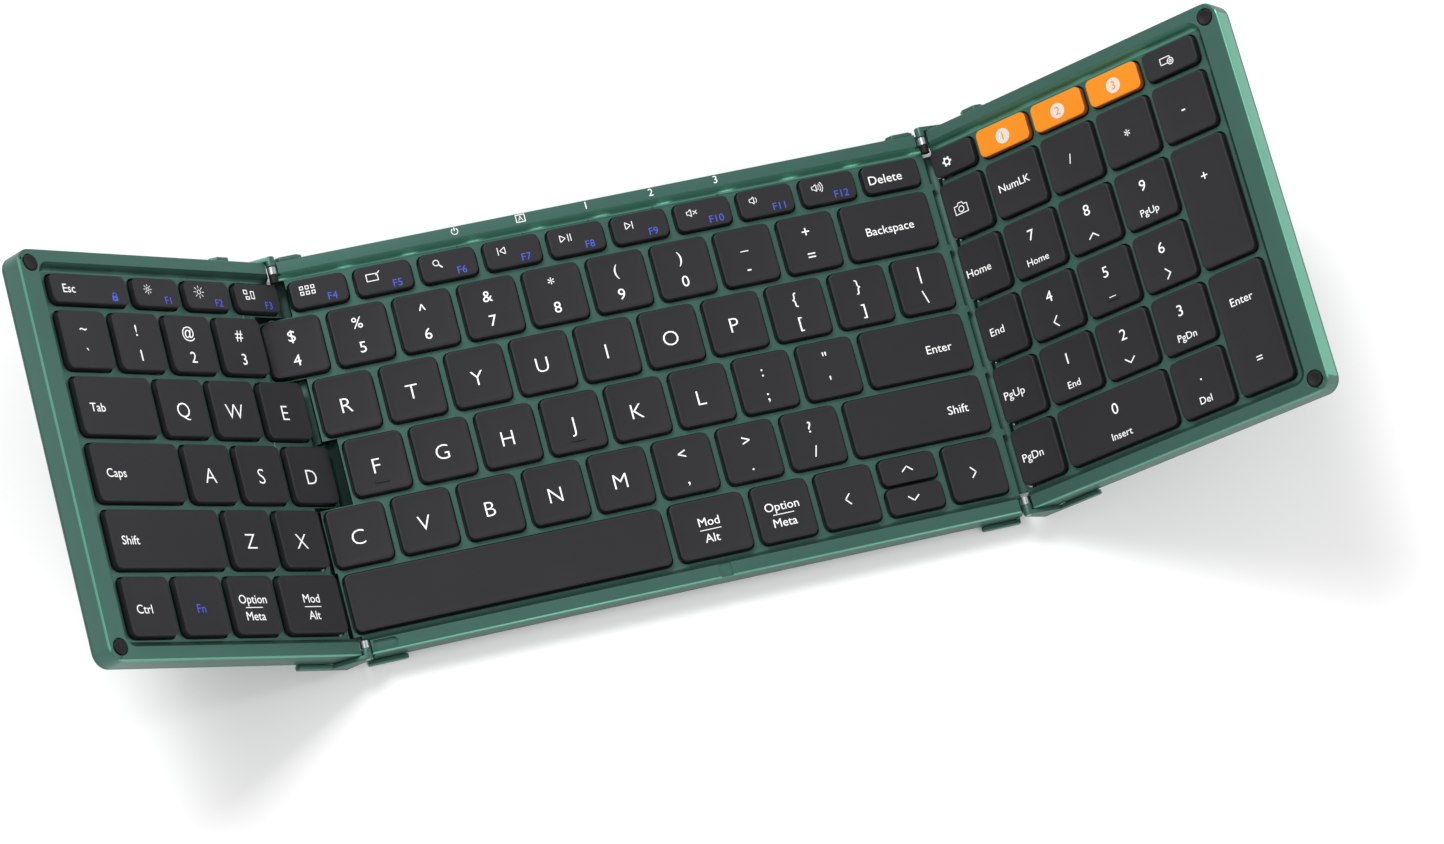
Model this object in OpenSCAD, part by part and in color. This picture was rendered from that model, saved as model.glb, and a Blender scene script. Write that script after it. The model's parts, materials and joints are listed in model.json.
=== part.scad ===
// Folding keyboard in three panels: a centre panel that lies on the desk and two
// wings that fold over it, key tops to key tops, each about one long hinge line.
// Everything is laid out flat first, in a working frame: x = 0 on the left fold
// axis, y = 0 at the front of the space bar row, z = 0 on the key tops.
// The wings are then lifted to the half-open pose, and the whole part is moved so
// that its origin is on the desk, midway between the two fold axes.

/* [Panels] */
// Distance between the two fold axes
hinge_span = 193.9; // [192:0.1:196]
// Left wing, from its fold axis to its outer edge
left_wing_w = 92.8; // [90:0.1:93]
// Right wing, from its fold axis to its outer edge
right_wing_w = 100.4; // [98:0.1:100.6]
// Depth of the panels, front to rear
panel_d = 117; // [117:0.5:119]
// Radius of the outer corners
corner_r = 4.5; // [3:0.5:6]
// Thickness of the outer walls
wall = 1.4; // [1.2:0.1:1.6]
// Width of the flat rim along the front
front_rim = 4; // [3.5:0.1:4.2]
// Width of the flat rim along the rear
rear_rim = 3.5; // [3:0.1:3.6]
// Width of the flat rim at the outer ends
side_rim = 6.5; // [6:0.1:6.8]
// Run of the slope from the rim down to the deck
rim_slope = 1.3; // [0.8:0.1:1.4]
// Radius of the inner corners where that slope meets the deck
inner_r = 2.4; // [1.5:0.1:3]

/* [Heights] */
// Rim above the key tops
rim_z = 0.5; // [0.3:0.1:0.6]
// Fold axis above the key tops
axis_z = 0.8; // [0.75:0.05:1]
// Deck between the keys, below the key tops
deck_drop = 2; // [1.8:0.1:2.2]
// Thickness of the deck
deck_t = 0.9; // [0.8:0.1:1]
// Underside of the bottom covers, below the key tops
cover_drop = 7; // [7:0.1:7.2]
// Thickness of the bottom covers
cover_t = 1.05; // [0.9:0.05:1.1]
// Desk, below the key tops
desk_drop = 8.5; // [8.5:0.1:9]

/* [Pose] */
// How far the left wing is lifted off the desk
left_lift = 37.7; // [0:0.1:90]
// How far the right wing is lifted off the desk
right_lift = 43.7; // [0:0.1:90]

/* [Keys] */
// Width of a letter key
key_w = 16.4; // [16:0.1:16.6]
// Depth of a letter key
key_d = 16.75; // [16.4:0.05:16.8]
// Depth of a key in the rear row
short_key_d = 8.35; // [8:0.05:8.6]
// Gap between letter keys, side to side
key_gap = 2.6; // [2.4:0.1:2.8]
// Pitch of the rows, front to rear
row_pitch = 19.02; // [18.9:0.01:19.1]
// Height of a keycap
cap_h = 2.1; // [2:0.1:2.1]
// Corner radius of a keycap
cap_r = 1.8; // [1.2:0.1:2.2]
// Clearance between a keycap and its well
well_gap = 0.5; // [0.4:0.05:0.55]
// How far a key travels
key_travel = 1.1; // [0.8:0.1:1.1]

/* [Hinges] */
// Clearance of the seams between the panels
seam_gap = 0.5; // [0.4:0.05:0.6]
// Radius of the hinge knuckles
knuckle_r = 1.45; // [1.3:0.05:1.5]
// Radius of the pins where they turn in the knuckles
pin_r = 0.7; // [0.6:0.05:0.8]
// Running clearance of a pin in its knuckle
pin_play = 0.06; // [0.03:0.01:0.1]
// How far the hinge arms stand out of the front and rear faces
arm_out = 1.4; // [1.2:0.1:1.6]

/* [Hidden] */
$fn = 48;

// Colours
green = "#4f7c70";
green_dark = "#3f6a5e";
key_black = "#3b3b3e";
channel_orange = "#f0961e";
rubber_black = "#17181a";
steel = "#b9bcc0";
board_green = "#1d5b3a";

far = 400;      // well past every edge
lap = 0.01;     // cutters reach this far past what they cut

// Levels, measured from the key tops
deck_z = -deck_drop;
deck_under = deck_z - deck_t;
cover_z = -cover_drop;
split_z = cover_z + cover_t;
desk_z = -desk_drop;
well_floor = -cap_h - key_travel - 0.15;
sheet_top = well_floor - 0.05;
sheet_t = 0.3;
plate_top = sheet_top - sheet_t;
plate_t = 0.4;
plate_under = plate_top - plate_t;
cap_t = 0.8;            // thickness of a keycap's top
cap_wall = 1;           // thickness of its skirt
plunger_h = 0.45;       // plunger under the cap, which presses the dome
dome_top = -cap_t - plunger_h - key_travel - 0.05;
link_t = 0.5;           // thickness of the folded scissor links
arm_z = cover_z - 1.2;  // underside of the hinge arms
arm_top = -6.2;         // top of the arms, beside the covers
foot_in = 0.2;          // how deep the feet sit in the covers
bumper_r = 2.2;
bumper_inset = 4.1;
bumper_out = 0.25;      // bumpers stand this far above the rim

// Outline of the panels
front_y = -7;
rear_y = front_y + panel_d;
mid_y = (front_y + rear_y) / 2;
left_x = -left_wing_w;
right_x = hinge_span + right_wing_w;

// Key layout. Row 0 is the space bar row, row 5 the short rear row.
main_x = -82.6;         // left edge of the main block
main_w = 273.4;         // its width, the same in every row
function letters(n) = [for (i = [1 : n]) key_w];
// Number of keys on the left wing, gap, and widths; the last key fills the row
main_rows = [
  [4, key_gap, [16.3, 16.3, 16.4, 22.1, 91.5, 21.4, 16.5, 16.5, 16.5]],
  [3, key_gap, concat([40.1], letters(10))],
  [4, key_gap, concat([30.95], letters(11))],
  [4, key_gap, concat([26.9], letters(12))],
  [4, key_gap, letters(13)],
  [4, 2.66, concat([26.9], [for (i = [1 : 12]) 16.25])]];
space_index = 4;
arrow_index = 8;        // the up and down keys share this place
arrow_split = 1;        // gap between them
function total(v, n) = n <= 0 ? 0 : v[n - 1] + total(v, n - 1);
function row_d(r) = r == 5 ? short_key_d : key_d;
function row_y(r) = r * row_pitch;
function main_left(r, i) = main_x + total(main_rows[r][2], i) + i * main_rows[r][1];
function main_key_w(r, i) = i < len(main_rows[r][2]) ? main_rows[r][2][i]
  : main_x + main_w - main_left(r, i);
function main_key(r, i) = [main_left(r, i), row_y(r), main_key_w(r, i), row_d(r)];

// A key is [left, front, width, depth]
function left_keys(r) = [for (i = [0 : main_rows[r][0] - 1]) main_key(r, i)];
function centre_keys(r) = [for (i = [main_rows[r][0] : len(main_rows[r][2])])
  if (r > 0 || (i != space_index && i != arrow_index)) main_key(r, i)];
function space_key() = main_key(0, space_index);
function half_key(k, upper) = let (h = (k[3] - arrow_split) / 2)
  [k[0], k[1] + (upper ? h + arrow_split : 0), k[2], h];
function arrow_keys() = [for (upper = [false, true]) half_key(main_key(0, arrow_index), upper)];

pad_first = [hinge_span + 0.5, 14.1];   // first column, cut narrow by the seam
pad_x = hinge_span + 16.6;              // second column
pad_w = 17;
pad_pitch = 19;
function pad_key(r, c, wide = 1, tall = 1) = [
  c == 0 ? pad_first[0] : pad_x + (c - 1) * pad_pitch, row_y(r),
  c == 0 ? pad_first[1] : pad_w + (wide - 1) * pad_pitch,
  row_d(r) + (tall - 1) * row_pitch];
function zero_row() = [pad_key(0, 0), pad_key(0, 1, wide = 2), pad_key(0, 3)];
function one_row() = concat([for (c = [0 : 3]) pad_key(1, c)], [pad_key(0, 4, tall = 2)]);
function four_row() = [for (c = [0 : 3]) pad_key(2, c)];
function seven_row() = concat([for (c = [0 : 3]) pad_key(3, c)], [pad_key(2, 4, tall = 2)]);
function lock_row() = [for (c = [0 : 4]) pad_key(4, c)];
function right_function_row() = [pad_key(5, 0), pad_key(5, 4)];
function channel_key(n) = pad_key(5, n);

function all_left() = [for (r = [0 : 5]) each left_keys(r)];
function all_centre() = concat([for (r = [0 : 5]) each centre_keys(r)], arrow_keys(), [space_key()]);
function all_right() = concat(zero_row(), one_row(), four_row(), seven_row(), lock_row(),
  right_function_row(), [for (n = [1 : 3]) channel_key(n)]);

// The left seam steps from row to row, so that no key is cut.
// Bands run front to rear: front rim, the six rows, rear rim.
seam_x = [0, -2.45, -3.1, 6.5, 2.35, -7.95, 2.75, 0];
// The covers, walls and plates stop at the axis, where the steps pass over it
cover_seam_x = [for (x = seam_x) min(x, 0)];
long_step = 3;          // the band with the longest step, whose key needs a plate past the axis
long_step_plate_x = 4.1;
long_step_cover_x = 2;  // how far past the axis the centre's cover is cut back there
plate_room = 0.3;       // room under that plate in the wing's frame
seam_wall_t = 0.9;      // walls along the seams are thinner than the outer ones
row_gap = row_pitch - key_d;
function band_rear(i) = i < 6 ? row_y(i) - row_gap / 2 : row_y(5) + short_key_d + row_gap / 2;

// Troughs about the fold axes. They belong to the centre panel, and close each seam
// from below as its wing lifts.
trough_r = 5.3;         // radius of their inner face
long_trough_r = 7.6;    // the same under the longest step
trough_t = 0.6;         // thickness where a trough runs out under a wing
trough_gap = 0.3;       // clearance of whatever swings inside or outside them
under_left = 0.6;       // how far past the seam they run under the left wing
under_right = 3;        // and under the right wing
finger_right = 3.4;     // and in fingers under its deck, between the rows of keys
finger_d = 1.6;         // depth of those fingers, front to rear
plate_cut = 0.9;        // how much further the plates stop short there
bulge_r = 1.1;          // the right seam bulges between the rows of keys
rib_cut = 1.2;          // and the right wing's deck stops this far from the axis there,
rib_cut_d = 4.4;        // cut back over this depth, past the round corners of the wells
trough_y = [row_y(0) - 0.5, row_y(5) + short_key_d + 0.5];
trough_room_z = axis_z - trough_r - trough_t - trough_gap;
// The left wing's plates stop short of the troughs
plate_seam_x = [for (i = [0 : 7]) i == long_step ? long_step_plate_x
  : i == 1 || i == 2 ? seam_x[i] - plate_cut : cover_seam_x[i]];
function step_y(s, i, g) = band_rear(i) + (s[i] > s[i + 1] ? g : -g);
function seam_path(s, g) = [for (i = [0 : 6]) for (k = [0, 1]) [s[i + k] + g, step_y(s, i, g)]];

// Screws, along the front and rear of each panel
screw_y = [front_y + 3, rear_y - 3];
left_screw_x = [-80, -52, -24];
centre_screw_x = [20, 97, 174];
right_screw_x = [hinge_span + 24, hinge_span + 54, hinge_span + 84];
screw_r = 0.8;
screw_head_r = 1.4;
screw_head_h = 0.6;
screw_top = -3.2;
boss_r = 1.5;

// Charging socket and what sits beside it
port_x = 152;
port_w = 8.94;
port_h = 3.26;
port_z = split_z + 0.05 + port_h / 2;
port_deep = 6;
port_shell = 0.3;

// Inside the centre panel, by the corner nearest x = 0, y = 0
battery_at = [24, 30];
battery_size = [62, 36, 1.6];
battery_seal = 3;
board_at = [118, 76];
board_size = [54, 27.6, 0.8];
chip_h = 0.8;
chips = [[8, 6, 7, 7], [20, 8, 10, 8], [36, 4, 5, 5], [46, 8, 4, 12]];
ribbon_y = 84;
ribbon_w = 6;
ribbon_t = 0.2;
ribbon_z = -5;
plug = [3, 7, 1];       // connector at the seam end of a ribbon
laid = 0.02;            // gap under what lies on the cover

// Ribs under the key plates
centre_rib_x = [12, 95, 110, 184];
left_rib_x = [-70, -30];
right_rib_x = [hinge_span + 25, hinge_span + 70];
rib_t = 1;
rib_y = [2, 80];

light_x = [for (i = [0 : 4]) 53.6 + 19.4 * i];
light_y = row_y(5) + short_key_d + 1.05;
light_r = 0.3;

// Small features of the frames
deck_line_x = [-12.75, -12.25];
deck_line_y = [row_y(0) - 1.3, row_y(5) + short_key_d + 0.9];
deck_line_h = 0.25;
pocket_x = [2.5, 8];    // the pocket's length, without its round end
pocket_y = [front_y + 0.75, front_y + 3.75];
pocket_deep = 0.8;
notch_x = [102.7, 106.1];
notch_deep = 0.4;

// ---------- placing ----------

// From the working frame to the part's own frame
module on_desk() {
  translate([-hinge_span / 2, -mid_y, desk_drop]) children();
}

module on_left_wing() {
  on_desk() translate([0, 0, axis_z]) rotate([0, left_lift, 0]) translate([0, 0, -axis_z]) children();
}

module on_right_wing() {
  on_desk() translate([hinge_span, 0, axis_z]) rotate([0, -right_lift, 0])
    translate([-hinge_span, 0, -axis_z]) children();
}

// The same thing at the front and, mirrored, at the rear
module at_rear() {
  translate([0, 2 * mid_y, 0]) mirror([0, 1, 0]) children();
}

// A left hinge piece placed at the right fold axis
module at_right_axis() {
  translate([hinge_span, 0, 0]) mirror([1, 0, 0]) children();
}

// ---------- shapes ----------

// Rounded rectangle as points, four steps to a corner
function rounded_points(w, d, r) = [
  for (q = [0 : 3]) for (s = [0 : 3])
    let (a = 90 * q + 30 * s, cx = (q == 0 || q == 3) ? w - r : r, cy = q < 2 ? d - r : r)
    [cx + r * cos(a), cy + r * sin(a)]];

// A block over a key's outline, grown by a margin, between two levels
module over_key(k, z0, z1, grow = 0) {
  translate([k[0] - grow, k[1] - grow, z0])
    linear_extrude(z1 - z0)
      polygon(rounded_points(k[2] + 2 * grow, k[3] + 2 * grow, cap_r + grow));
}

module keycap(k) {
  difference() {
    over_key(k, -cap_h, 0);
    translate([k[0] + cap_wall, k[1] + cap_wall, -cap_h - lap])
      cube([k[2] - 2 * cap_wall, k[3] - 2 * cap_wall, cap_h - cap_t + lap]);
  }
  translate([k[0] + k[2] / 2, k[1] + k[3] / 2, -cap_t - plunger_h])
    cylinder(r = 1, h = plunger_h + lap, $fn = 24);
}

module keycaps(keys) {
  for (k = keys) keycap(k);
}

// Raised bar that a finger finds on the two home keys and the keypad's 5
module homing_bar(k) {
  translate([k[0] + k[2] / 2 - 2, k[1] + 2.6, -lap]) cube([4, 0.5, 0.25]);
}

module wells(keys) {
  for (k = keys) over_key(k, well_floor, rim_z + 1, well_gap);
}

function link_d(k) = min(11, k[3] - 2.8);

// Folded scissor links: a flat ring round each dome
module scissor_links(keys) {
  for (k = keys) translate([k[0] + k[2] / 2, k[1] + k[3] / 2, sheet_top + 0.02])
    linear_extrude(link_t) difference() {
      square([11, link_d(k)], center = true);
      square([9.4, link_d(k) - 1.2], center = true);
    }
}

module dome_sheet(keys) {
  translate([0, 0, plate_top]) linear_extrude(sheet_t) children();
  for (k = keys) translate([k[0] + k[2] / 2, k[1] + k[3] / 2, sheet_top - lap])
    cylinder(r1 = min(2.4, link_d(k) / 2 - 0.9), r2 = 1.1, h = dome_top - sheet_top, $fn = 24);
}

module key_plate() {
  translate([0, 0, plate_under]) linear_extrude(plate_t) children();
}

// Area of the left wing, short of the seam by g; s gives the seam's steps
module wing_area(s, g) {
  polygon(concat([[-far, -far], [s[0] - g, -far]], seam_path(s, -g),
    [[s[7] - g, far], [-far, far]]));
}

// Plan of a panel between two x, drawn in all round, with its outer corners rounded
module plan(x0, x1, inset, left_r, right_r) {
  y0 = front_y + inset;
  y1 = rear_y - inset;
  difference() {
    translate([x0, y0]) square([x1 - x0, y1 - y0]);
    if (left_r > 0) outer_corners(x0, 1, y0, y1, left_r);
    if (right_r > 0) outer_corners(x1, -1, y0, y1, right_r);
  }
}

// What rounding takes off the two corners at x, where inwards is in_x
module outer_corners(x, in_x, y0, y1, r) {
  for (end = [[y0, 1], [y1, -1]]) difference() {
    translate([x - (in_x > 0 ? 1 : r), end[0] - (end[1] > 0 ? 1 : r)]) square(r + 1);
    translate([x + in_x * r, end[0] + end[1] * r]) circle(r = r);
  }
}

module left_plan(inset = 0, s = seam_x) {
  intersection() {
    plan(left_x + inset, far, inset, corner_r - inset, 0);
    wing_area(s, seam_gap / 2 + seam_wall(inset));
  }
}

function seam_wall(inset) = inset > 0 ? seam_wall_t : 0;

module centre_plan(inset = 0, s = seam_x) {
  difference() {
    plan(-far, hinge_span - seam_gap / 2 - seam_wall(inset), inset, 0, 0);
    wing_area(s, -seam_gap / 2 - seam_wall(inset));
  }
}

module right_plan(inset = 0) {
  plan(hinge_span + seam_gap / 2 + seam_wall(inset), right_x - inset, inset, 0, corner_r - inset);
}

// The hollow above the deck, with its sloping sides; x0 and x1 are rim edges
module above_deck(x0, x1) {
  top = rim_z + 1;
  run = rim_slope * (top - deck_z) / (rim_z - deck_z);
  y0 = front_y + front_rim + rim_slope;
  y1 = rear_y - rear_rim - rim_slope;
  hull() for (x = [x0 + rim_slope + inner_r, x1 - rim_slope - inner_r])
    for (y = [y0 + inner_r, y1 - inner_r])
      translate([x, y, deck_z]) cylinder(r1 = inner_r, r2 = inner_r + run, h = top - deck_z, $fn = 32);
}

module screw_bosses(xs) {
  for (x = xs) for (y = screw_y) translate([x, y, split_z])
    cylinder(r = boss_r, h = deck_under - split_z + lap);
}

module screw_pilots(xs) {
  for (x = xs) for (y = screw_y) translate([x, y, split_z - lap])
    cylinder(r = screw_r + 0.05, h = screw_top + 0.1 - split_z);
}

module screws(xs) {
  for (x = xs) for (y = screw_y) translate([x, y, cover_z]) {
    cylinder(r = screw_head_r, h = screw_head_h);
    cylinder(r = screw_r, h = screw_top - cover_z);
  }
}

module screw_holes(xs) {
  for (x = xs) for (y = screw_y) translate([x, y, cover_z - lap]) {
    cylinder(r = screw_head_r + 0.1, h = screw_head_h + 0.05 + lap);
    cylinder(r = screw_r + 0.1, h = cover_t + 1);
  }
}

// Strip with round ends, w along x and d along y
module strip(w, d) {
  r = min(w, d) / 2;
  square([w, d] - (w > d ? [2 * r, 0] : [0, 2 * r]), center = true);
  for (side = [-1, 1])
    translate(w > d ? [side * (w / 2 - r), 0] : [0, side * (d / 2 - r)]) circle(r = r);
}

// Feet are [x, y, width, depth] about their middles
centre_foot_list = [for (y = [9, 94]) [hinge_span / 2, y, 110, 7]];
left_foot_list = [[left_x + 11, mid_y, 6, 70]];
right_foot_list = [[right_x - 11, mid_y, 6, 70]];

module feet(list) {
  for (f = list) translate([f[0], f[1], desk_z])
    linear_extrude(cover_z + foot_in - desk_z) strip(f[2], f[3]);
}

module foot_seats(list) {
  for (f = list) translate([f[0], f[1], cover_z - lap])
    linear_extrude(foot_in + lap) strip(f[2] + 0.2, f[3] + 0.2);
}

// Bottom cover: a plate with ribs that carry the key plate
module bottom_cover(screw_xs, foot_list, ribs) {
  difference() {
    translate([0, 0, cover_z]) linear_extrude(cover_t) children();
    screw_holes(screw_xs);
    foot_seats(foot_list);
  }
  for (x = ribs) translate([x - rib_t / 2, rib_y[0], split_z - lap])
    cube([rib_t, rib_y[1] - rib_y[0], plate_under - split_z + lap]);
}

module bumper_seats(x) {
  for (y = [front_y + bumper_inset, rear_y - bumper_inset])
    translate([x, y, rim_z - 0.8]) cylinder(r = bumper_r + 0.25, h = 2);
}

module bumpers(x) {
  for (y = [front_y + bumper_inset, rear_y - bumper_inset])
    translate([x, y, rim_z - 0.8]) cylinder(r = bumper_r, h = 0.8 + bumper_out);
}

// ---------- hinges, drawn for the front left corner ----------

outer_y = front_y - arm_out;        // outer face of the arms
arm_in_y = front_y - 0.1;           // their inner face, clear of the panel ends
barrel_y = [front_y + 1.8, front_y + 3.9];
strap_x = [-20, -7];                // the arm's strap, along the wing
arm_tab_x = [-19, -8];              // its tab, under the wing's cover
bracket_x = [0.8, 12.4];            // the bracket's strap, along the centre panel
bracket_tab_x = [0.8, 11.4];
tab_d = 7.5;
cradle_r = 1.32;
barrel_r = 1.3;
slot_x = 2.3;                       // the bracket's slot in the centre panel
slot_top = -0.1;
// The arm's gusset, in x and z: from the strap up to the knuckle
gusset = [[-7.2, arm_z], [-0.1, arm_z], [1.3, axis_z - 0.6], [-1.1, axis_z + 0.9],
  [-7.2, arm_top - 0.7]];
web_x = [0.4, 2.1];                 // the bracket's web
web_y = front_y + 0.2;              // its outer face, clear of the arm's gusset
web_top = axis_z - 1.9;
web_foot_w = 1.3;                   // where it meets the strap
cradle_w = 1.05;                    // wall that cradles the pin, on top of the web
cradle_h = 1.5;
rail_top = -0.5;                    // top of the rails on the rear straps
rail_slope = 1.5;                   // how far their ends slope
arm_rail_x = [-20, -13];
bracket_rail_x = [1.5, 9.6];

// Round the axis, between two y
module about_axis(r, y0 = -20, y1 = 130) {
  translate([0, y1, axis_z]) rotate([90, 0, 0]) cylinder(r = r, h = y1 - y0);
}

// Profile in x and z, extruded between two y
module across(points, y0, y1) {
  translate([0, y1, 0]) rotate([90, 0, 0]) linear_extrude(y1 - y0) polygon(points);
}

// Strap that runs along a panel's end face, low down, from a square end to a round one
module strap(x_square, x_round) {
  r = (arm_top - arm_z) / 2;
  x_end = x_round + (x_square > x_round ? r : -r);
  across([[x_end, arm_z], [x_square, arm_z], [x_square, arm_top], [x_end, arm_top]],
    outer_y, arm_in_y);
  translate([x_end, arm_in_y, arm_z + r]) rotate([90, 0, 0]) cylinder(r = r, h = arm_in_y - outer_y);
}

// Rail with sloping ends, which the rear straps carry behind the rim
module rear_rail(x) {
  foot = arm_z + 1;
  shoulder = rail_top - rail_slope;
  across([[x[0], foot], [x[1], foot], [x[1], shoulder], [x[1] - rail_slope, rail_top],
    [x[0] + rail_slope, rail_top], [x[0], shoulder]], outer_y, arm_in_y);
}

// Tab that turns in under a cover and is bonded to it
module tab(x) {
  translate([x[0], outer_y, arm_z]) cube([x[1] - x[0], tab_d, cover_z - arm_z]);
}

// Arm on the wing: tab under the cover, strap, gusset and knuckle
module hinge_arm() {
  difference() {
    union() {
      strap(strap_x[1], strap_x[0]);
      tab(arm_tab_x);
      across(gusset, outer_y, arm_in_y);
      about_axis(knuckle_r, outer_y, barrel_y[0] - 0.25);
    }
    about_axis(pin_r + pin_play, outer_y - 1, barrel_y[0]);
  }
}

// Bracket on the centre panel: tab, strap and the web that cradles the pin
module hinge_bracket() {
  difference() {
    union() {
      strap(bracket_x[0], bracket_x[1]);
      tab(bracket_tab_x);
      translate([web_x[0], web_y, arm_z])
        cube([web_x[1] - web_x[0], barrel_y[1] - web_y - 0.1, web_top - arm_z]);
      translate([bracket_x[0], outer_y, arm_z])
        cube([web_foot_w, web_y + 1 - outer_y, arm_top - arm_z]);
      translate([web_x[0], barrel_y[0], web_top - lap])
        cube([cradle_w, barrel_y[1] - barrel_y[0] - 0.1, cradle_h]);
    }
    about_axis(cradle_r, barrel_y[0] - 1, barrel_y[1] + 1);
  }
}

// Pin: a barrel held by the bracket, and a journal in the arm's knuckle
module hinge_pin() {
  about_axis(barrel_r, barrel_y[0], barrel_y[1]);
  about_axis(pin_r, outer_y + 0.05, barrel_y[0] + lap);
}

// Room for the knuckles in the rims of both panels
module knuckle_room() {
  about_axis(knuckle_r + 0.35, front_y - 1, barrel_y[1] + 0.2);
}

// Slot for a bracket's web in the end of the centre panel
module bracket_slot() {
  translate([0, front_y - 1, cover_z - 1])
    cube([slot_x, barrel_y[1] - front_y + 1.1, slot_top - cover_z + 1]);
}

module every_hinge() {
  for (rear = [false, true]) for (right = [false, true])
    translate([right ? hinge_span : 0, rear ? 2 * mid_y : 0, 0])
      mirror([right ? 1 : 0, 0, 0]) mirror([0, rear ? 1 : 0, 0]) children();
}

// ---------- troughs under the seams ----------

function is_step(i) = seam_x[i] > 0;
function has_trough(i) = i > 0 && i < 7 && seam_x[i] > -5;
function step_r(i) = i == long_step ? long_trough_r : trough_r;

// The space of one band between two x and two z, held in by g at its front and rear
module band_block(i, x0, x1, z0, z1, g) {
  y0 = step_y(seam_x, i - 1, g);
  y1 = step_y(seam_x, i, g);
  translate([x0, y0, z0]) cube([x1 - x0, y1 - y0, z1 - z0]);
}

// A thin curved lip that runs out under a wing, between two x
module lip(x0, x1, y0, y1) {
  difference() {
    intersection() {
      translate([x0, y0, split_z]) cube([x1 - x0, y1 - y0, deck_under - trough_gap - split_z]);
      about_axis(trough_r + trough_t);
    }
    about_axis(trough_r);
  }
}

// Troughs at the left seam: solid under the steps, and thin lips under the wing
module left_troughs() {
  g = seam_gap / 2;
  for (i = [1 : 6]) if (has_trough(i)) {
    x = seam_x[i];
    if (is_step(i)) difference() {
      band_block(i, g, x + g + seam_wall_t / 2, split_z, deck_under + lap, g);
      about_axis(step_r(i));
    }
    else lip(x - under_left, x + g + seam_wall_t / 2, step_y(seam_x, i - 1, g), step_y(seam_x, i, g));
  }
}

// What the left wing leaves free for them
module left_trough_room() {
  g = seam_gap / 2;
  for (i = [1 : 6]) if (has_trough(i)) {
    x = seam_x[i];
    if (is_step(i)) difference() {
      band_block(i, -g, far / 10, split_z - 1, deck_under - lap, lap - g);
      about_axis(step_r(i) - trough_gap);
    }
    else band_block(i, x - under_left - plate_cut, x, trough_room_z, deck_under, -g);
  }
}

// Room for the plate past the axis in the longest step
module long_step_room() {
  g = seam_gap / 2 + seam_wall_t;
  band_block(long_step, -g - 1, long_step_plate_x - g, plate_under - plate_room, deck_under + lap, -g);
}

// Trough and bulges at the right seam
module right_trough() {
  translate([hinge_span, 0, 0]) {
    lip(-seam_gap / 2 - seam_wall_t / 2, under_right, trough_y[0], trough_y[1]);
    for (i = [1 : 5]) {
      lip(under_right - 1, finger_right, band_rear(i) - finger_d / 2, band_rear(i) + finger_d / 2);
      translate([-seam_gap / 2, band_rear(i), deck_under]) cylinder(r = bulge_r, h = deck_t);
    }
  }
}

module right_trough_room() {
  margin = trough_gap + 0.1;
  translate([hinge_span - 1, trough_y[0] - margin, trough_room_z])
    cube([1 + finger_right + margin, trough_y[1] - trough_y[0] + 2 * margin, deck_under - trough_room_z]);
  for (i = [1 : 5]) translate([hinge_span - 1, band_rear(i) - rib_cut_d / 2, trough_room_z])
    cube([1 + rib_cut, rib_cut_d, rim_z - trough_room_z]);
}

// ---------- panels ----------

module top_shell() {
  translate([0, 0, split_z]) linear_extrude(rim_z - split_z) children();
}

module hollow() {
  translate([0, 0, split_z - 1]) linear_extrude(deck_under - split_z + 1) children();
}

module centre_top_frame() {
  color(green) on_desk() difference() {
    union() {
      difference() {
        top_shell() centre_plan();
        hollow() centre_plan(wall);
      }
      screw_bosses(centre_screw_x);
      left_troughs();
      right_trough();
    }
    above_deck(-far, 2 * far);
    wells(all_centre());
    screw_pilots(centre_screw_x);
    every_hinge() {
      knuckle_room();
      bracket_slot();
    }
    charging_opening();
    front_left_pocket();
    front_notch();
    for (x = light_x) translate([x, light_y, deck_under - 1])
      cylinder(r = light_r + 0.02, h = 3, $fn = 24);
  }
}

// Opening for the charging socket in the rear wall, with room behind it
module charging_opening() {
  translate([port_x, rear_y + 1, port_z]) rotate([90, 0, 0])
    linear_extrude(port_deep + 2) strip(port_w + 0.4, port_h + 0.2);
}

// Shallow pocket in the rim beside the front left hinge
module front_left_pocket() {
  d = pocket_y[1] - pocket_y[0];
  translate([pocket_x[0], pocket_y[0], rim_z - pocket_deep])
    cube([pocket_x[1] - pocket_x[0], d, pocket_deep + 1]);
  translate([pocket_x[1], pocket_y[0] + d / 2, rim_z - pocket_deep])
    cylinder(r = d / 2, h = pocket_deep + 1);
}

// Thumb notch across the front rim
module front_notch() {
  translate([notch_x[0], front_y - 1, rim_z - notch_deep])
    cube([notch_x[1] - notch_x[0], front_rim + 1, notch_deep + 1]);
}

module centre_bottom_cover() {
  color(green_dark) on_desk() difference() {
    bottom_cover(centre_screw_x, centre_foot_list, centre_rib_x) centre_plan(0, cover_seam_x);
    every_hinge() bracket_slot();
    about_axis(long_trough_r, band_rear(long_step - 1), band_rear(long_step));
    band_block(long_step, 0, long_step_cover_x, cover_z - 1, split_z + lap, -seam_gap / 2);
  }
}

module inner_area(x0, x1) {
  translate([x0, -1.4]) square([x1 - x0, 104.9]);
}

module centre_key_plate() {
  color(steel) on_desk() key_plate() intersection() {
    centre_plan(wall + 0.1);
    inner_area(-far, far);
  }
}

module centre_dome_sheet() {
  color(rubber_black) on_desk() dome_sheet(all_centre()) intersection() {
    centre_plan(wall + 0.1);
    inner_area(-far, far);
  }
}

module centre_scissor_links() {
  color("ivory") on_desk() scissor_links(all_centre());
}

module centre_feet() {
  color(rubber_black) on_desk() feet(centre_foot_list);
}

module centre_screws() {
  color(steel) on_desk() screws(centre_screw_x);
}

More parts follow.
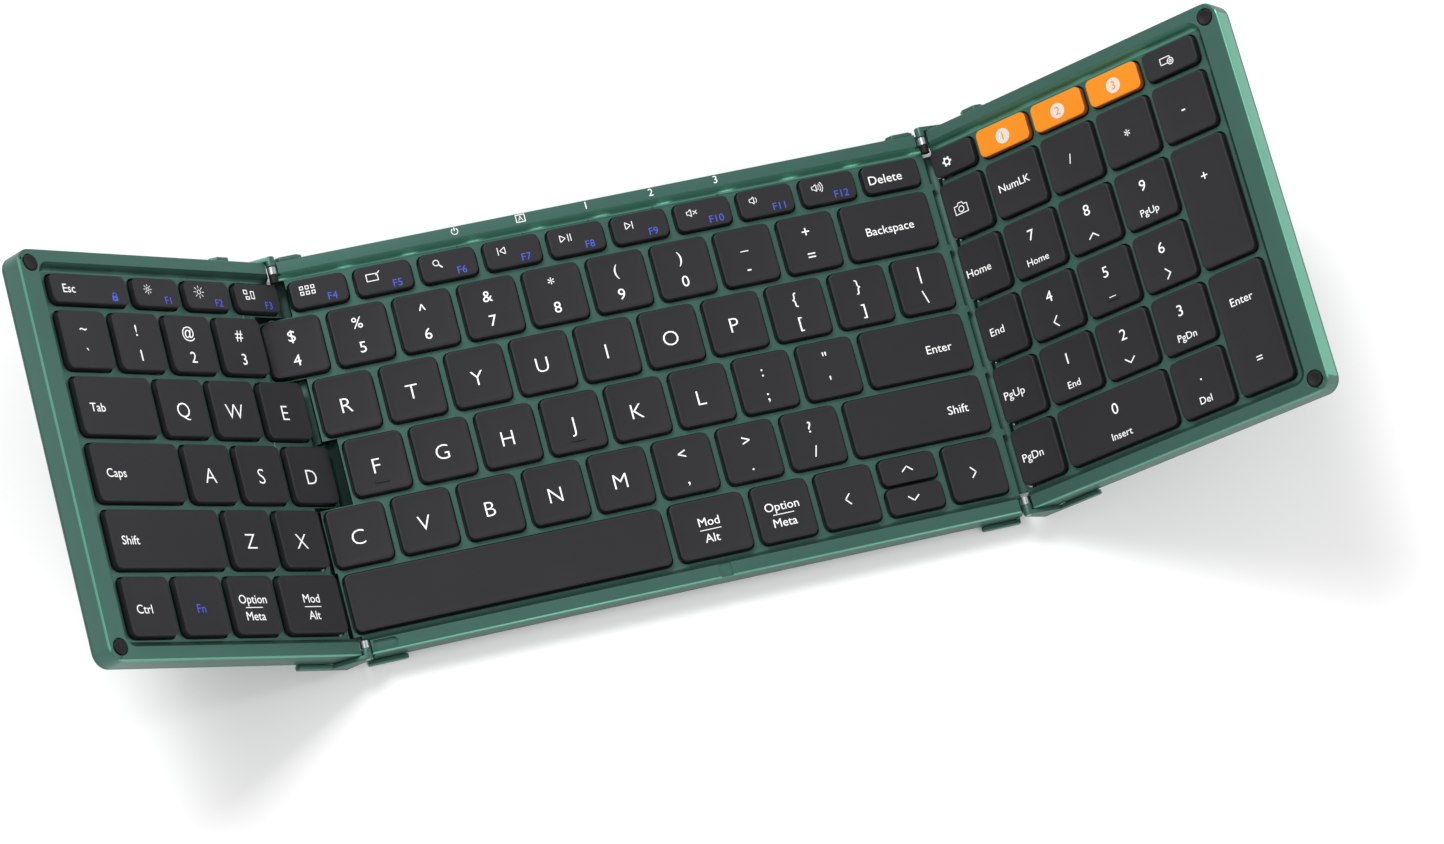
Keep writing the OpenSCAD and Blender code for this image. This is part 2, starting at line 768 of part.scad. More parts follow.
// Flat pouch cell under the centre key plate, with its folded seal
module battery() {
  color("silver") on_desk() translate([battery_at[0], battery_at[1], split_z + laid]) {
    cube(battery_size);
    translate([0, battery_size[1] - lap, 0.6]) cube([battery_size[0], battery_seal, 0.3]);
  }
}

// Circuit board with its processor, radio can and ribbon connectors
module controller_board() {
  color(board_green) on_desk() translate([board_at[0], board_at[1], split_z + laid]) {
    cube(board_size);
    for (c = chips) translate([c[0], c[1], board_size[2] - lap]) cube([c[2], c[3], chip_h]);
  }
}

// Charging socket: drawn shell, back wall and tongue
module usb_port() {
  color(steel) on_desk() translate([port_x, rear_y - 0.05, port_z]) rotate([90, 0, 0]) {
    linear_extrude(port_deep) difference() {
      strip(port_w, port_h);
      strip(port_w - 2 * port_shell, port_h - 2 * port_shell);
    }
    translate([0, 0, port_deep - 0.4]) linear_extrude(0.4) strip(port_w - lap, port_h - lap);
    translate([-3.35, -0.35, 0.8]) cube([6.7, 0.7, port_deep - 1]);
  }
}

module status_light_pipes() {
  pipe_z = sheet_top + 0.05;
  color("white") on_desk() for (x = light_x) translate([x, light_y, pipe_z])
    cylinder(r = light_r, h = deck_z + 0.07 - pipe_z, $fn = 24);
}

// Flat ribbons from the board to the two seams, each with a connector
module flex_ribbons() {
  board_end = board_at[0] + board_size[0];
  color("peru") on_desk() for (run = [[10, board_at[0] - 0.1, 9], [board_end + 1, 191, 188]]) {
    translate([run[0], ribbon_y, ribbon_z]) cube([run[1] - run[0], ribbon_w, ribbon_t]);
    translate([run[2], ribbon_y - 0.5, split_z + laid]) cube(plug);
  }
}

module left_top_frame() {
  color(green) on_left_wing() difference() {
    union() {
      difference() {
        top_shell() left_plan();
        hollow() left_plan(wall, cover_seam_x);
      }
      screw_bosses(left_screw_x);
    }
    above_deck(left_x + side_rim, far);
    wells(all_left());
    screw_pilots(left_screw_x);
    knuckle_room();
    at_rear() knuckle_room();
    bumper_seats(left_x + bumper_inset);
    left_trough_room();
    long_step_room();
  }
  color(green) on_left_wing() deck_line();
}

// A fine raised line on the left deck, broken by the keys
module deck_line() {
  difference() {
    translate([deck_line_x[0], deck_line_y[0], deck_z - lap])
      cube([deck_line_x[1] - deck_line_x[0], deck_line_y[1] - deck_line_y[0], deck_line_h + lap]);
    wells(all_left());
  }
}

module left_bottom_cover() {
  color(green_dark) on_left_wing()
    bottom_cover(left_screw_x, left_foot_list, left_rib_x) left_plan(0, cover_seam_x);
}

module left_key_plate() {
  color(steel) on_left_wing() key_plate() intersection() {
    left_plan(wall + 0.1, plate_seam_x);
    inner_area(left_x + 3, far);
  }
}

module left_dome_sheet() {
  color(rubber_black) on_left_wing() dome_sheet(all_left()) intersection() {
    left_plan(wall + 0.1, plate_seam_x);
    inner_area(left_x + 3, far);
  }
}

module left_scissor_links() {
  color("ivory") on_left_wing() scissor_links(all_left());
}

module left_feet() {
  color(rubber_black) on_left_wing() feet(left_foot_list);
}

module left_screws() {
  color(steel) on_left_wing() screws(left_screw_x);
}

module left_bumpers() {
  color(rubber_black) on_left_wing() bumpers(left_x + bumper_inset);
}

// Magnets that tell the board that the left wing is folded shut
module fold_magnets() {
  color("gray") on_left_wing() for (y = [20, 83])
    translate([left_x + 3.6, y, split_z + 0.02]) cylinder(r = 2, h = 1.6);
}

module right_top_frame() {
  color(green) on_right_wing() difference() {
    union() {
      difference() {
        top_shell() right_plan();
        hollow() right_plan(wall);
      }
      screw_bosses(right_screw_x);
    }
    above_deck(-far, right_x - side_rim);
    wells(all_right());
    screw_pilots(right_screw_x);
    at_right_axis() {
      knuckle_room();
      at_rear() knuckle_room();
    }
    bumper_seats(right_x - bumper_inset);
    right_trough_room();
  }
}

module right_bottom_cover() {
  color(green_dark) on_right_wing()
    bottom_cover(right_screw_x, right_foot_list, right_rib_x) right_plan();
}

module right_key_plate() {
  color(steel) on_right_wing() key_plate() intersection() {
    right_plan(wall + 0.1);
    inner_area(hinge_span + finger_right + plate_cut, right_x - 3);
  }
}

module right_dome_sheet() {
  color(rubber_black) on_right_wing() dome_sheet(all_right()) intersection() {
    right_plan(wall + 0.1);
    inner_area(hinge_span + finger_right + plate_cut, right_x - 3);
  }
}

module right_scissor_links() {
  color("ivory") on_right_wing() scissor_links(all_right());
}

module right_feet() {
  color(rubber_black) on_right_wing() feet(right_foot_list);
}

module right_screws() {
  color(steel) on_right_wing() screws(right_screw_x);
}

module right_bumpers() {
  color(rubber_black) on_right_wing() bumpers(right_x - bumper_inset);
}

module left_front_hinge_arm() {
  color(green) on_left_wing() hinge_arm();
}

module left_rear_hinge_arm() {
  color(green) on_left_wing() at_rear() {
    hinge_arm();
    rear_rail(arm_rail_x);
  }
}

module right_front_hinge_arm() {
  color(green) on_right_wing() at_right_axis() hinge_arm();
}

module right_rear_hinge_arm() {
  color(green) on_right_wing() at_right_axis() at_rear() {
    hinge_arm();
    rear_rail(arm_rail_x);
  }
}

module left_front_hinge_bracket() {
  color(green) on_desk() hinge_bracket();
}

module left_rear_hinge_bracket() {
  color(green) on_desk() at_rear() {
    hinge_bracket();
    rear_rail(bracket_rail_x);
  }
}

module right_front_hinge_bracket() {
  color(green) on_desk() at_right_axis() hinge_bracket();
}

module right_rear_hinge_bracket() {
  color(green) on_desk() at_right_axis() at_rear() {
    hinge_bracket();
    rear_rail(bracket_rail_x);
  }
}

module hinge_pins() {
  color(steel) on_desk() every_hinge() hinge_pin();
}

// ---------- keys ----------

module left_row(r) {
  color(key_black) on_left_wing() keycaps(left_keys(r));
}

module centre_row(r) {
  color(key_black) on_desk() keycaps(centre_keys(r));
}

module right_row(keys) {
  color(key_black) on_right_wing() keycaps(keys);
}

module space_bar() {
  color(key_black) on_desk() keycap(space_key());
}

module centre_bottom_keys() {
  centre_row(0);
  color(key_black) on_desk() keycaps(arrow_keys());
}

// Home row, with bars on its first and fourth letters
module centre_home_keys() {
  centre_row(2);
  color(key_black) on_desk() for (i = [0, 3]) homing_bar(centre_keys(2)[i]);
}

module keypad_four_keys() {
  right_row(four_row());
  color(key_black) on_right_wing() homing_bar(four_row()[2]);
}

module channel_cap(n) {
  color(channel_orange) on_right_wing() keycap(channel_key(n));
}

centre_top_frame();
centre_bottom_cover();
centre_key_plate();
centre_dome_sheet();
centre_scissor_links();
centre_feet();
centre_screws();
battery();
controller_board();
usb_port();
status_light_pipes();
flex_ribbons();
left_top_frame();
left_bottom_cover();
left_key_plate();
left_dome_sheet();
left_scissor_links();
left_feet();
left_screws();
left_bumpers();
fold_magnets();
right_top_frame();
right_bottom_cover();
right_key_plate();
right_dome_sheet();
right_scissor_links();
right_feet();
right_screws();
right_bumpers();
left_front_hinge_arm();
left_rear_hinge_arm();
right_front_hinge_arm();
right_rear_hinge_arm();
left_front_hinge_bracket();
left_rear_hinge_bracket();
right_front_hinge_bracket();
right_rear_hinge_bracket();
hinge_pins();
left_row(0);  // left_bottom_keys
left_row(1);  // left_shift_keys
left_row(2);  // left_home_keys
left_row(3);  // left_tab_keys
left_row(4);  // left_number_keys
left_row(5);  // left_function_keys
space_bar();
centre_bottom_keys();
centre_row(1);  // centre_shift_keys
centre_home_keys();
centre_row(3);  // centre_letter_keys
centre_row(4);  // centre_number_keys
centre_row(5);  // centre_function_keys
right_row(zero_row());  // keypad_zero_keys
right_row(one_row());  // keypad_one_keys
keypad_four_keys();
right_row(seven_row());  // keypad_seven_keys
right_row(lock_row());  // keypad_lock_keys
right_row(right_function_row());  // right_function_keys
channel_cap(1);  // channel_key_1
channel_cap(2);  // channel_key_2
channel_cap(3);  // channel_key_3
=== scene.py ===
# %% [markdown]
# # A folding keyboard in three panels
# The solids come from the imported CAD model, in metres. The centre panel lies on
# the desk, and two wings fold over it about one long hinge line each. Here each
# visible piece gets its finished form: softened edges, dished keycaps, printed
# legends, and finishes made from nodes.

# %% Load the solids
import json
import math

import bpy
from mathutils import Matrix, Vector


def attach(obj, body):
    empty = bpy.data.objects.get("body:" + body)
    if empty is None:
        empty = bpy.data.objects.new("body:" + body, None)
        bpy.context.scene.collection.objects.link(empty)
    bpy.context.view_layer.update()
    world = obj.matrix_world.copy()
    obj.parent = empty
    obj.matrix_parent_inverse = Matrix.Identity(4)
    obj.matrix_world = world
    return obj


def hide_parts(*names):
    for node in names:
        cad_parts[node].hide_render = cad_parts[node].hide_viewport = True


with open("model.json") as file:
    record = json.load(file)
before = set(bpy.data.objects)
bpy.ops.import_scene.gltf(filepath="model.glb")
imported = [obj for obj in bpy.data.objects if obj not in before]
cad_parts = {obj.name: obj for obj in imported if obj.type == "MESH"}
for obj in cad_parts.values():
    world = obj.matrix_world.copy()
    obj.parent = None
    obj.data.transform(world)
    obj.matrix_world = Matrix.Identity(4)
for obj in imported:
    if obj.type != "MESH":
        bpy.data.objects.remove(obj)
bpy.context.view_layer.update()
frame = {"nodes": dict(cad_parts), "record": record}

# %% [markdown]
# ## The keyboard laid flat
# Everything is easiest to model with the keyboard laid flat, in millimetres:
# x = 0 on the left fold axis, y = 0 at the front of the space bar row and z = 0
# on the key tops. A panel's matrix then carries a finished piece to its place.
# These are the same sizes that the solids were made from.

# %% Sizes and the three panels' places
HINGE_SPAN = 193.9
LEFT_LIFT = math.radians(37.7)
RIGHT_LIFT = math.radians(43.7)
AXIS_Z = 0.8
FRONT_Y, REAR_Y = -7, 110
MID_Y = (FRONT_Y + REAR_Y) / 2
LEFT_X, RIGHT_X = -92.8, HINGE_SPAN + 100.4
DESK_DROP = 8.5
RIM_Z, DECK_Z, COVER_Z = 0.5, -2, -7

to_desk = Matrix.Scale(0.001, 4) @ Matrix.Translation((-HINGE_SPAN / 2, -MID_Y, DESK_DROP))


def lifted(axis_x, angle):
    """Turns what is laid flat about the fold axis at axis_x."""
    about = Matrix.Translation((axis_x, 0, AXIS_Z))
    return to_desk @ about @ Matrix.Rotation(angle, 4, "Y") @ about.inverted()


PLACE = {"left": lifted(0, LEFT_LIFT), "centre": to_desk, "right": lifted(HINGE_SPAN, -RIGHT_LIFT)}
WING = {"left": "left_wing", "centre": "centre_panel", "right": "right_wing"}
print("left wing's edge is", round((PLACE["left"] @ Vector((LEFT_X, 0, 0))).z * 1000, 1), "mm up")

# %% [markdown]
# ## Camera
# A product picture is taken with a long lens from well above. This one stands
# 1.36 m away, a little to the front left, and is rolled so that the keyboard
# runs uphill across the frame.

# %% Camera
CAMERA_AT = (-0.280002, -0.352066, 1.293983)
CAMERA_TURN = (17.21471, -8.87226, -14.89700)

bpy.ops.object.select_all(action="DESELECT")
bpy.ops.object.camera_add(location=CAMERA_AT, rotation=[math.radians(a) for a in CAMERA_TURN])
camera = bpy.context.object
camera.data.sensor_width = 36
camera.data.lens = 119.67
camera.data.clip_end = 20
bpy.context.scene.camera = camera
print("camera looks along", [round(v, 3) for v in camera.matrix_world.to_3x3() @ Vector((0, 0, -1))])

# %% [markdown]
# ## Studio
# A pale floor that runs out of the picture, an even pale sky, one broad lamp
# high behind the keyboard, which lays soft shadows towards the front, and two
# long strips that draw bright lines on the metal's edges.

# %% Floor
bpy.ops.object.select_all(action="DESELECT")
bpy.ops.mesh.primitive_plane_add(size=8, location=(0, 0, 0))
floor = bpy.context.object
floor.name = "studio_floor"

# %% Lamps
def lamp(name, at, size, watts):
    """A rectangular lamp at a place, facing the keyboard."""
    bpy.ops.object.light_add(type="AREA", location=at)
    made = bpy.context.object
    made.name = name
    made.data.shape = "RECTANGLE"
    made.data.size, made.data.size_y = size
    made.data.energy = watts
    made.rotation_euler = (-Vector(at)).to_track_quat("-Z", "Y").to_euler()


lamp("overhead_lamp", (-0.75, 1.3, 1.75), (1.0, 0.8), 37)
lamp("front_strip", (0.4, -1.4, 1.0), (2.4, 0.3), 12)
lamp("right_strip", (1.9, 0.1, 1.0), (0.3, 1.8), 8)
world = bpy.data.worlds.new("pale_sky")
bpy.context.scene.world = world
world.use_nodes = True
world.node_tree.nodes["Background"].inputs["Color"].default_value = (1, 1, 1, 1)
world.node_tree.nodes["Background"].inputs["Strength"].default_value = 0.62
bpy.context.scene.view_settings.view_transform = "Standard"

# %% [markdown]
# ## Finishes from nodes
# A small class wraps a socket, so that shader maths is written as Python.

# %% Shader maths
class Wire:
    """A socket that numbers are added to or multiply, each time by one more Math node."""

    def __init__(self, finish, socket):
        self.finish, self.socket = finish, socket

    def maths(self, operation, number):
        return self.finish.add("ShaderNodeMath", {"operation": operation}, {0: number, 1: self})

    def __radd__(self, number):
        return self.maths("ADD", number)

    def __rmul__(self, number):
        return self.maths("MULTIPLY", number)


class Finish:
    """A material being made: add() puts in a node and returns its first output."""

    def __init__(self, name):
        self.material = bpy.data.materials.new(name)
        self.material.use_nodes = True
        self.tree = self.material.node_tree
        self.shader = self.tree.nodes["Principled BSDF"]

    def add(self, kind, settings=None, inputs=None, output=0):
        node = self.tree.nodes.new(kind)
        for key, value in (settings or {}).items():
            setattr(node, key, value)
        for key, value in (inputs or {}).items():
            self.put(node.inputs[key], value)
        return Wire(self, node.outputs[output])

    def put(self, socket, value):
        if isinstance(value, Wire):
            self.tree.links.new(value.socket, socket)
        elif isinstance(value, tuple) and len(value) == 3 and socket.type == "RGBA":
            socket.default_value = (*value, 1)
        else:
            socket.default_value = value

    def surface(self, **inputs):
        for key, value in inputs.items():
            self.put(self.shader.inputs[key.replace("_", " ")], value)
        return self.material

    def noise(self, scale, detail=3, roughness=0.5):
        """Noise on the piece's own place in the model, so many waves to the metre."""
        place = self.add("ShaderNodeTexCoord", output=3)
        return self.add("ShaderNodeTexNoise", None,
                        {"Vector": place, "Scale": scale, "Detail": detail, "Roughness": roughness})

    def blend(self, mask, low, high):
        """A colour between two, by a mask from 0 to 1."""
        node = self.tree.nodes.new("ShaderNodeMix")
        node.data_type = "RGBA"
        for key, value in ((0, mask), (6, low), (7, high)):
            self.put(node.inputs[key], value)
        return Wire(self, node.outputs[2])

    def bump(self, height, strength, distance):
        return self.add("ShaderNodeBump", None,
                        {"Height": height, "Strength": strength, "Distance": distance})


def linear(r, g, b):
    """A colour as a paint chart gives it, 0 to 255, in the light's own scale."""
    return tuple(((c / 255 + 0.055) / 1.055) ** 2.4 if c > 10 else c / 3294.6 for c in (r, g, b))


print("finishes are made with", Finish.__name__)

# %% [markdown]
# The panels are aluminium, blasted with fine beads and dyed green. The blast
# leaves a grain of about a tenth of a millimetre that spreads reflections, and
# the dye is never quite even. Darker copies of the green paint the shade on the
# key wells' walls and on the ledges and tongues of the seams, and a lighter copy
# paints highlights on the outer chamfer, the right wing's outer side and the
# foot of the slope inside the rim.

# %% Anodised aluminium
def anodised(name, light, dark):
    finish = Finish(name)
    grain = finish.noise(9000, 2, 0.6)
    cloud = finish.noise(35, 3)
    colour = finish.blend(cloud, linear(*dark), linear(*light))
    return finish.surface(Base_Color=colour, Metallic=0.72, Roughness=0.34 + 0.12 * grain,
                          Normal=finish.bump(grain, 0.25, 0.00004))


frame_green = anodised("frame_green", (69, 108, 97), (62, 99, 88))
cover_green = anodised("cover_green", (64, 102, 91), (57, 93, 83))
# well_shade: a near-black copy of the green, painted shade for the walls below the deck.
well_shade = anodised("well_shade", (16, 22, 21), (12, 17, 16))
# A darker copy of the green, painted shade for the ledges in the seams and for the seam tongues.
seam_painted_shade = anodised("seam_painted_shade", (48, 78, 70), (42, 70, 62))
# A lighter copy of the green, painted highlight for the outer chamfer, the right wing's outer side and the rear
# slope's foot.
painted_highlight_green = anodised("painted_highlight_green", (98, 166, 143), (90, 156, 133))
print("metal:", *(m.name for m in (frame_green, cover_green, well_shade, seam_painted_shade, painted_highlight_green)))

# %% [markdown]
# The keys are moulded in black plastic with a fine spark-eroded grain, so they
# look charcoal under a broad light. Their sides get a smoother, deeper black copy
# that paints their shade, so each key stands in a black outline. The channel keys
# are the same in orange, with painted shade on their sides too.

# %% Key plastic
def moulded(name, light, dark, roughness=0.5, grain_size=5200, grain_depth=0.00003, gloss=0.5):
    finish = Finish(name)
    grain = finish.noise(grain_size, 3, 0.6)
    cloud = finish.noise(60, 2)
    colour = finish.blend(cloud, linear(*dark), linear(*light))
    return finish.surface(Base_Color=colour, Roughness=roughness - 0.05 + 0.12 * grain,
                          Specular_IOR_Level=gloss, Normal=finish.bump(grain, 0.3, grain_depth))


key_black = moulded("key_black", (34, 34, 37), (29, 29, 32), gloss=0.28)
# The side finishes are darker copies of the key plastics: painted shade on the keys' sides.
key_side_painted_shade = moulded("key_side_painted_shade", (13, 14, 15), (9, 10, 11), 0.42)
channel_orange = moulded("channel_orange", (232, 138, 10), (224, 128, 6), gloss=0.28)
channel_side_painted_shade = moulded("channel_side_painted_shade", (176, 92, 8), (160, 82, 6), 0.42)
rubber_black = moulded("rubber_black", (14, 14, 16), (9, 9, 10), 0.6, 3000, 0.00005, gloss=0.3)
dome_rubber = moulded("dome_rubber", (38, 38, 41), (30, 30, 33), 0.6, 3000)
link_white = moulded("link_white", (232, 231, 224), (222, 220, 212), 0.45)
board_green = moulded("board_green", (30, 96, 62), (24, 84, 54), 0.4)
ribbon_film = moulded("ribbon_film", (206, 134, 66), (190, 118, 52), 0.25)
light_smoke = moulded("light_smoke", (58, 74, 70), (50, 66, 62), 0.2)
# A dark coat, as such plates often have, made near black so that the gaps between keys read as deep shade:
# partly painted shade.
plate_coat_and_shade = moulded("plate_coat_and_shade", (24, 26, 27), (18, 20, 21), 0.55)
print("plastics and rubbers are ready")

# %% [markdown]
# Print stands on the keys as a thin layer of ink, matt and very slightly uneven.

# %% Ink
def ink(name, light, dark):
    finish = Finish(name)
    mottle = finish.noise(2400, 2)
    return finish.surface(Base_Color=finish.blend(mottle, linear(*dark), linear(*light)),
                          Roughness=0.5 + 0.15 * mottle)


ink_white = ink("ink_white", (252, 252, 252), (240, 240, 241))
ink_blue = ink("ink_blue", (66, 86, 206), (58, 76, 190))
ink_grey = ink("ink_grey", (222, 214, 204), (206, 198, 188))
print("inks:", ink_white.name, ink_blue.name, ink_grey.name)

# %% [markdown]
# Pins, screws and the socket are bare metal. Turned and rolled steel carries
# fine lines, drawn here by noise stretched along one direction.

# %% Bare metals
def drawn_metal(name, light, dark, roughness, stretch):
    finish = Finish(name)
    place = finish.add("ShaderNodeTexCoord", output=3)
    lines = finish.add("ShaderNodeMapping", None, {"Vector": place, "Scale": stretch})
    brushed = finish.add("ShaderNodeTexNoise", None, {"Vector": lines, "Scale": 1, "Detail": 3})
    return finish.surface(Base_Color=finish.blend(brushed, linear(*dark), linear(*light)),
                          Metallic=1, Roughness=roughness + 0.15 * brushed,
                          Normal=finish.bump(brushed, 0.15, 0.00002))


steel = drawn_metal("steel", (206, 209, 212), (168, 171, 175), 0.22, (400, 9000, 9000))
battery_foil = drawn_metal("battery_foil", (204, 205, 208), (184, 185, 188), 0.3, (300, 300, 4000))
magnet_grey = drawn_metal("magnet_grey", (150, 151, 154), (128, 129, 132), 0.25, (3000, 3000, 3000))
print("metals:", steel.name, battery_foil.name, magnet_grey.name)

# %% The floor's finish
pale_floor = Finish("pale_floor")
drift = pale_floor.noise(2, 2)
pale_floor.surface(Base_Color=pale_floor.blend(drift, (0.93, 0.93, 0.93), (0.95, 0.95, 0.95)),
                   Roughness=0.9)
floor.data.materials.append(pale_floor.material)
print("floor:", pale_floor.material.name)

# %% [markdown]
# ## Modelling helpers
# Operators act on what is selected, so each helper first lets go of everything
# and then selects faces or edges by where they are.

# %% Selecting
def only(*pieces):
    bpy.ops.object.select_all(action="DESELECT")
    for piece in pieces:
        piece.select_set(True)
    bpy.context.view_layer.objects.active = pieces[0]


def edit(piece, faces=None, edges=None):
    """Opens a piece for editing with only the faces or edges that pass a test selected."""
    only(piece)
    mesh = piece.data
    for element in (*mesh.vertices, *mesh.edges, *mesh.polygons):
        element.select = False
    if faces:
        for face in mesh.polygons:
            face.select = faces(face)
    if edges:
        for edge in mesh.edges:
            a, b = (mesh.vertices[i].co for i in edge.vertices)
            edge.select = edges(a, b)
    bpy.context.tool_settings.mesh_select_mode = (False, edges is not None, edges is None)
    bpy.ops.object.mode_set(mode="EDIT")


def done():
    bpy.ops.object.mode_set(mode="OBJECT")
    return bpy.context.object


def joined(pieces, name):
    only(*pieces)
    if len(pieces) > 1:
        bpy.ops.object.join()
    made = bpy.context.object
    made.name = made.data.name = name
    return made


def settle(piece, panel, body, material_slot, *materials):
    """Carries a piece from the flat layout to its place, and puts it on its body."""
    only(piece)
    piece.matrix_world = PLACE[panel] @ piece.matrix_world
    bpy.ops.object.transform_apply(location=True, rotation=True, scale=True)
    if materials:
        parts = [face.material_index for face in piece.data.polygons]
        piece.data.materials.clear()
        for material in materials:
            piece.data.materials.append(material)
        piece.data.polygons.foreach_set("material_index", [min(i, len(materials) - 1) for i in parts])
    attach(piece, body)
    return piece


print("helpers ready")

# %% [markdown]
# ## Where the keys are
# Six rows run across the left wing and the centre panel with no break, and the
# number pad stands on the right wing. A key is (left, front, width, depth).

# %% Key layout
KEY_W, KEY_D, SHORT_D, GAP, ROW_PITCH = 16.4, 16.75, 8.35, 2.6, 19.02
MAIN_X, MAIN_W = -82.6, 273.4
MAIN_ROWS = (
    (4, GAP, [16.3, 16.3, 16.4, 22.1, 91.5, 21.4, 16.5, 16.5, 16.5]),
    (3, GAP, [40.1] + [KEY_W] * 10),
    (4, GAP, [30.95] + [KEY_W] * 11),
    (4, GAP, [26.9] + [KEY_W] * 12),
    (4, GAP, [KEY_W] * 13),
    (4, 2.66, [26.9] + [16.25] * 12))


def row_depth(row):
    return SHORT_D if row == 5 else KEY_D


def main_row(row):
    _, gap, widths = MAIN_ROWS[row]
    keys, x = [], MAIN_X
    for width in widths:
        keys.append((x, row * ROW_PITCH, width, row_depth(row)))
        x += width + gap
    return keys + [(x, row * ROW_PITCH, MAIN_X + MAIN_W - x, row_depth(row))]


def pad_key(row, column, wide=1, tall=1):
    x = HINGE_SPAN + (0.5 if column == 0 else 16.6 + 19 * (column - 1))
    width = 14.1 if column == 0 else 17 + 19 * (wide - 1)
    return (x, row * ROW_PITCH, width, row_depth(row) + ROW_PITCH * (tall - 1))


def half(key, upper):
    x, y, w, d = key
    depth = (d - 1) / 2
    return (x, y + (depth + 1 if upper else 0), w, depth)


MAIN = [main_row(row) for row in range(6)]
print("main block:", [len(row) for row in MAIN], "keys in its rows")

# %% Keys of each node
LEFT_NAMES = ("left_bottom_keys", "left_shift_keys", "left_home_keys", "left_tab_keys",
              "left_number_keys", "left_function_keys")
CENTRE_NAMES = ("centre_bottom_keys", "centre_shift_keys", "centre_home_keys", "centre_letter_keys",
                "centre_number_keys", "centre_function_keys")
SPACE_PLACE, ARROW_PLACE = 4, 8

node_keys = {}
for row, (on_left, _, _) in enumerate(MAIN_ROWS):
    node_keys[LEFT_NAMES[row]] = MAIN[row][:on_left]
    node_keys[CENTRE_NAMES[row]] = MAIN[row][on_left:]
arrows = [half(MAIN[0][ARROW_PLACE], upper) for upper in (False, True)]
node_keys["space_bar"] = [MAIN[0][SPACE_PLACE]]
node_keys["centre_bottom_keys"] = [MAIN[0][5], MAIN[0][6], MAIN[0][7], *arrows, MAIN[0][9]]
node_keys["keypad_zero_keys"] = [pad_key(0, 0), pad_key(0, 1, wide=2), pad_key(0, 3)]
node_keys["keypad_one_keys"] = [pad_key(1, c) for c in range(4)] + [pad_key(0, 4, tall=2)]
node_keys["keypad_four_keys"] = [pad_key(2, c) for c in range(4)]
node_keys["keypad_seven_keys"] = [pad_key(3, c) for c in range(4)] + [pad_key(2, 4, tall=2)]
node_keys["keypad_lock_keys"] = [pad_key(4, c) for c in range(5)]
node_keys["right_function_keys"] = [pad_key(5, 0), pad_key(5, 4)]
for n in (1, 2, 3):
    node_keys[f"channel_key_{n}"] = [pad_key(5, n)]
print(sum(len(keys) for keys in node_keys.values()), "keys in", len(node_keys), "nodes")


def panel_of(node):
    if node.startswith("left"):
        return "left"
    return "centre" if node.startswith(("centre", "space")) else "right"


# %% [markdown]
# ## Keycaps
# A keycap is a thin moulded shell: square sides with round corners, a soft top
# edge, and a top that is dished by a tenth of a millimetre or two so that a
# finger finds its middle. One cap of each size is modelled from a cube and
# copied, as most keys share a few sizes. Print is later draped on the dish.

# %% Model one cap, centred on its own middle
CAP_H, CORNER_R, SKIRT, EDGE_R = 2.1, 1.8, 1, 0.32
CORNER_STEPS = 3        # after these insets the round corner has shrunk to a point
caps_by_size = {}


def cap_of_size(width, depth, dish):
    """A cap with its top edge at z = 0. dish is (inset, drop) steps from the edge inwards."""
    bpy.ops.mesh.primitive_cube_add(size=1, location=(0, 0, -CAP_H / 2), scale=(width, depth, CAP_H))
    bpy.ops.object.transform_apply(location=True, scale=True)
    cap = bpy.context.object
    edit(cap, edges=lambda a, b: abs(a.z - b.z) > CAP_H / 2)
    bpy.ops.mesh.bevel(offset=CORNER_R, segments=5, affect="EDGES")
    done()
    edit(cap, edges=lambda a, b: a.z > -0.01 and b.z > -0.01)
    bpy.ops.mesh.bevel(offset=EDGE_R, segments=3, affect="EDGES")
    done()
    edit(cap, faces=lambda f: f.normal.z > 0.99)
    for inset, drop in dish[:CORNER_STEPS]:
        bpy.ops.mesh.inset(thickness=inset, depth=-drop)
    bpy.ops.mesh.remove_doubles(threshold=0.5)
    for inset, drop in dish[CORNER_STEPS:]:
        bpy.ops.mesh.inset(thickness=inset, depth=-drop)
    done()
    edit(cap, faces=lambda f: f.normal.z < -0.99)
    bpy.ops.mesh.inset(thickness=SKIRT, depth=0)
    bpy.ops.mesh.extrude_region_move(TRANSFORM_OT_translate={"value": (0, 0, CAP_H - 0.9)})
    done()
    bpy.ops.object.shade_smooth_by_angle(angle=math.radians(35))
    # The sides take the second finish, a darker copy that paints their shade.
    for face in cap.data.polygons:
        face.material_index = 0 if face.normal.z > 0.45 else 1
    return cap


LETTER_DISH = ((0.4, 0.012), (0.5, 0.035), (0.45, 0.04), (1.2, 0.06), (1.5, 0.03))
WIDE_DISH = ((0.4, 0.01), (0.5, 0.02), (0.45, 0.02), (1.2, 0.02))
FLAT_DISH = ((0.4, 0.01), (0.5, 0.01), (0.45, 0.005))


def dish_for(key):
    _, _, width, depth = key
    if depth < 12:
        return FLAT_DISH
    return LETTER_DISH if width < 22 else WIDE_DISH


def floor_of(key):
    """Height of a dished top's floor."""
    return -sum(drop for _, drop in dish_for(key))


def top_at(key, px, py):
    """Height of a dished top at a point, by how far in from the edge it is."""
    x, y, width, depth = key
    inside = min(px - x, x + width - px, py - y, y + depth - py) - EDGE_R
    height = 0
    for inset, drop in dish_for(key):
        height -= drop * min(max(inside / inset, 0), 1)
        inside -= inset
    return height


def keycap(key):
    """A copy of the cap of this key's size, at its place."""
    x, y, width, depth = key
    size = (round(width, 2), round(depth, 2))
    if size not in caps_by_size:
        caps_by_size[size] = cap_of_size(width, depth, dish_for(key))
    model = caps_by_size[size]
    cap = model.copy()
    cap.data = model.data.copy()
    bpy.context.collection.objects.link(cap)
    cap.location = (x + width / 2, y + depth / 2, 0)
    return cap


# %% [markdown]
# Two home keys and the pad's 5 have a low bar near the front edge that a finger
# finds. It starts as a cube, and its top edges are rounded over.

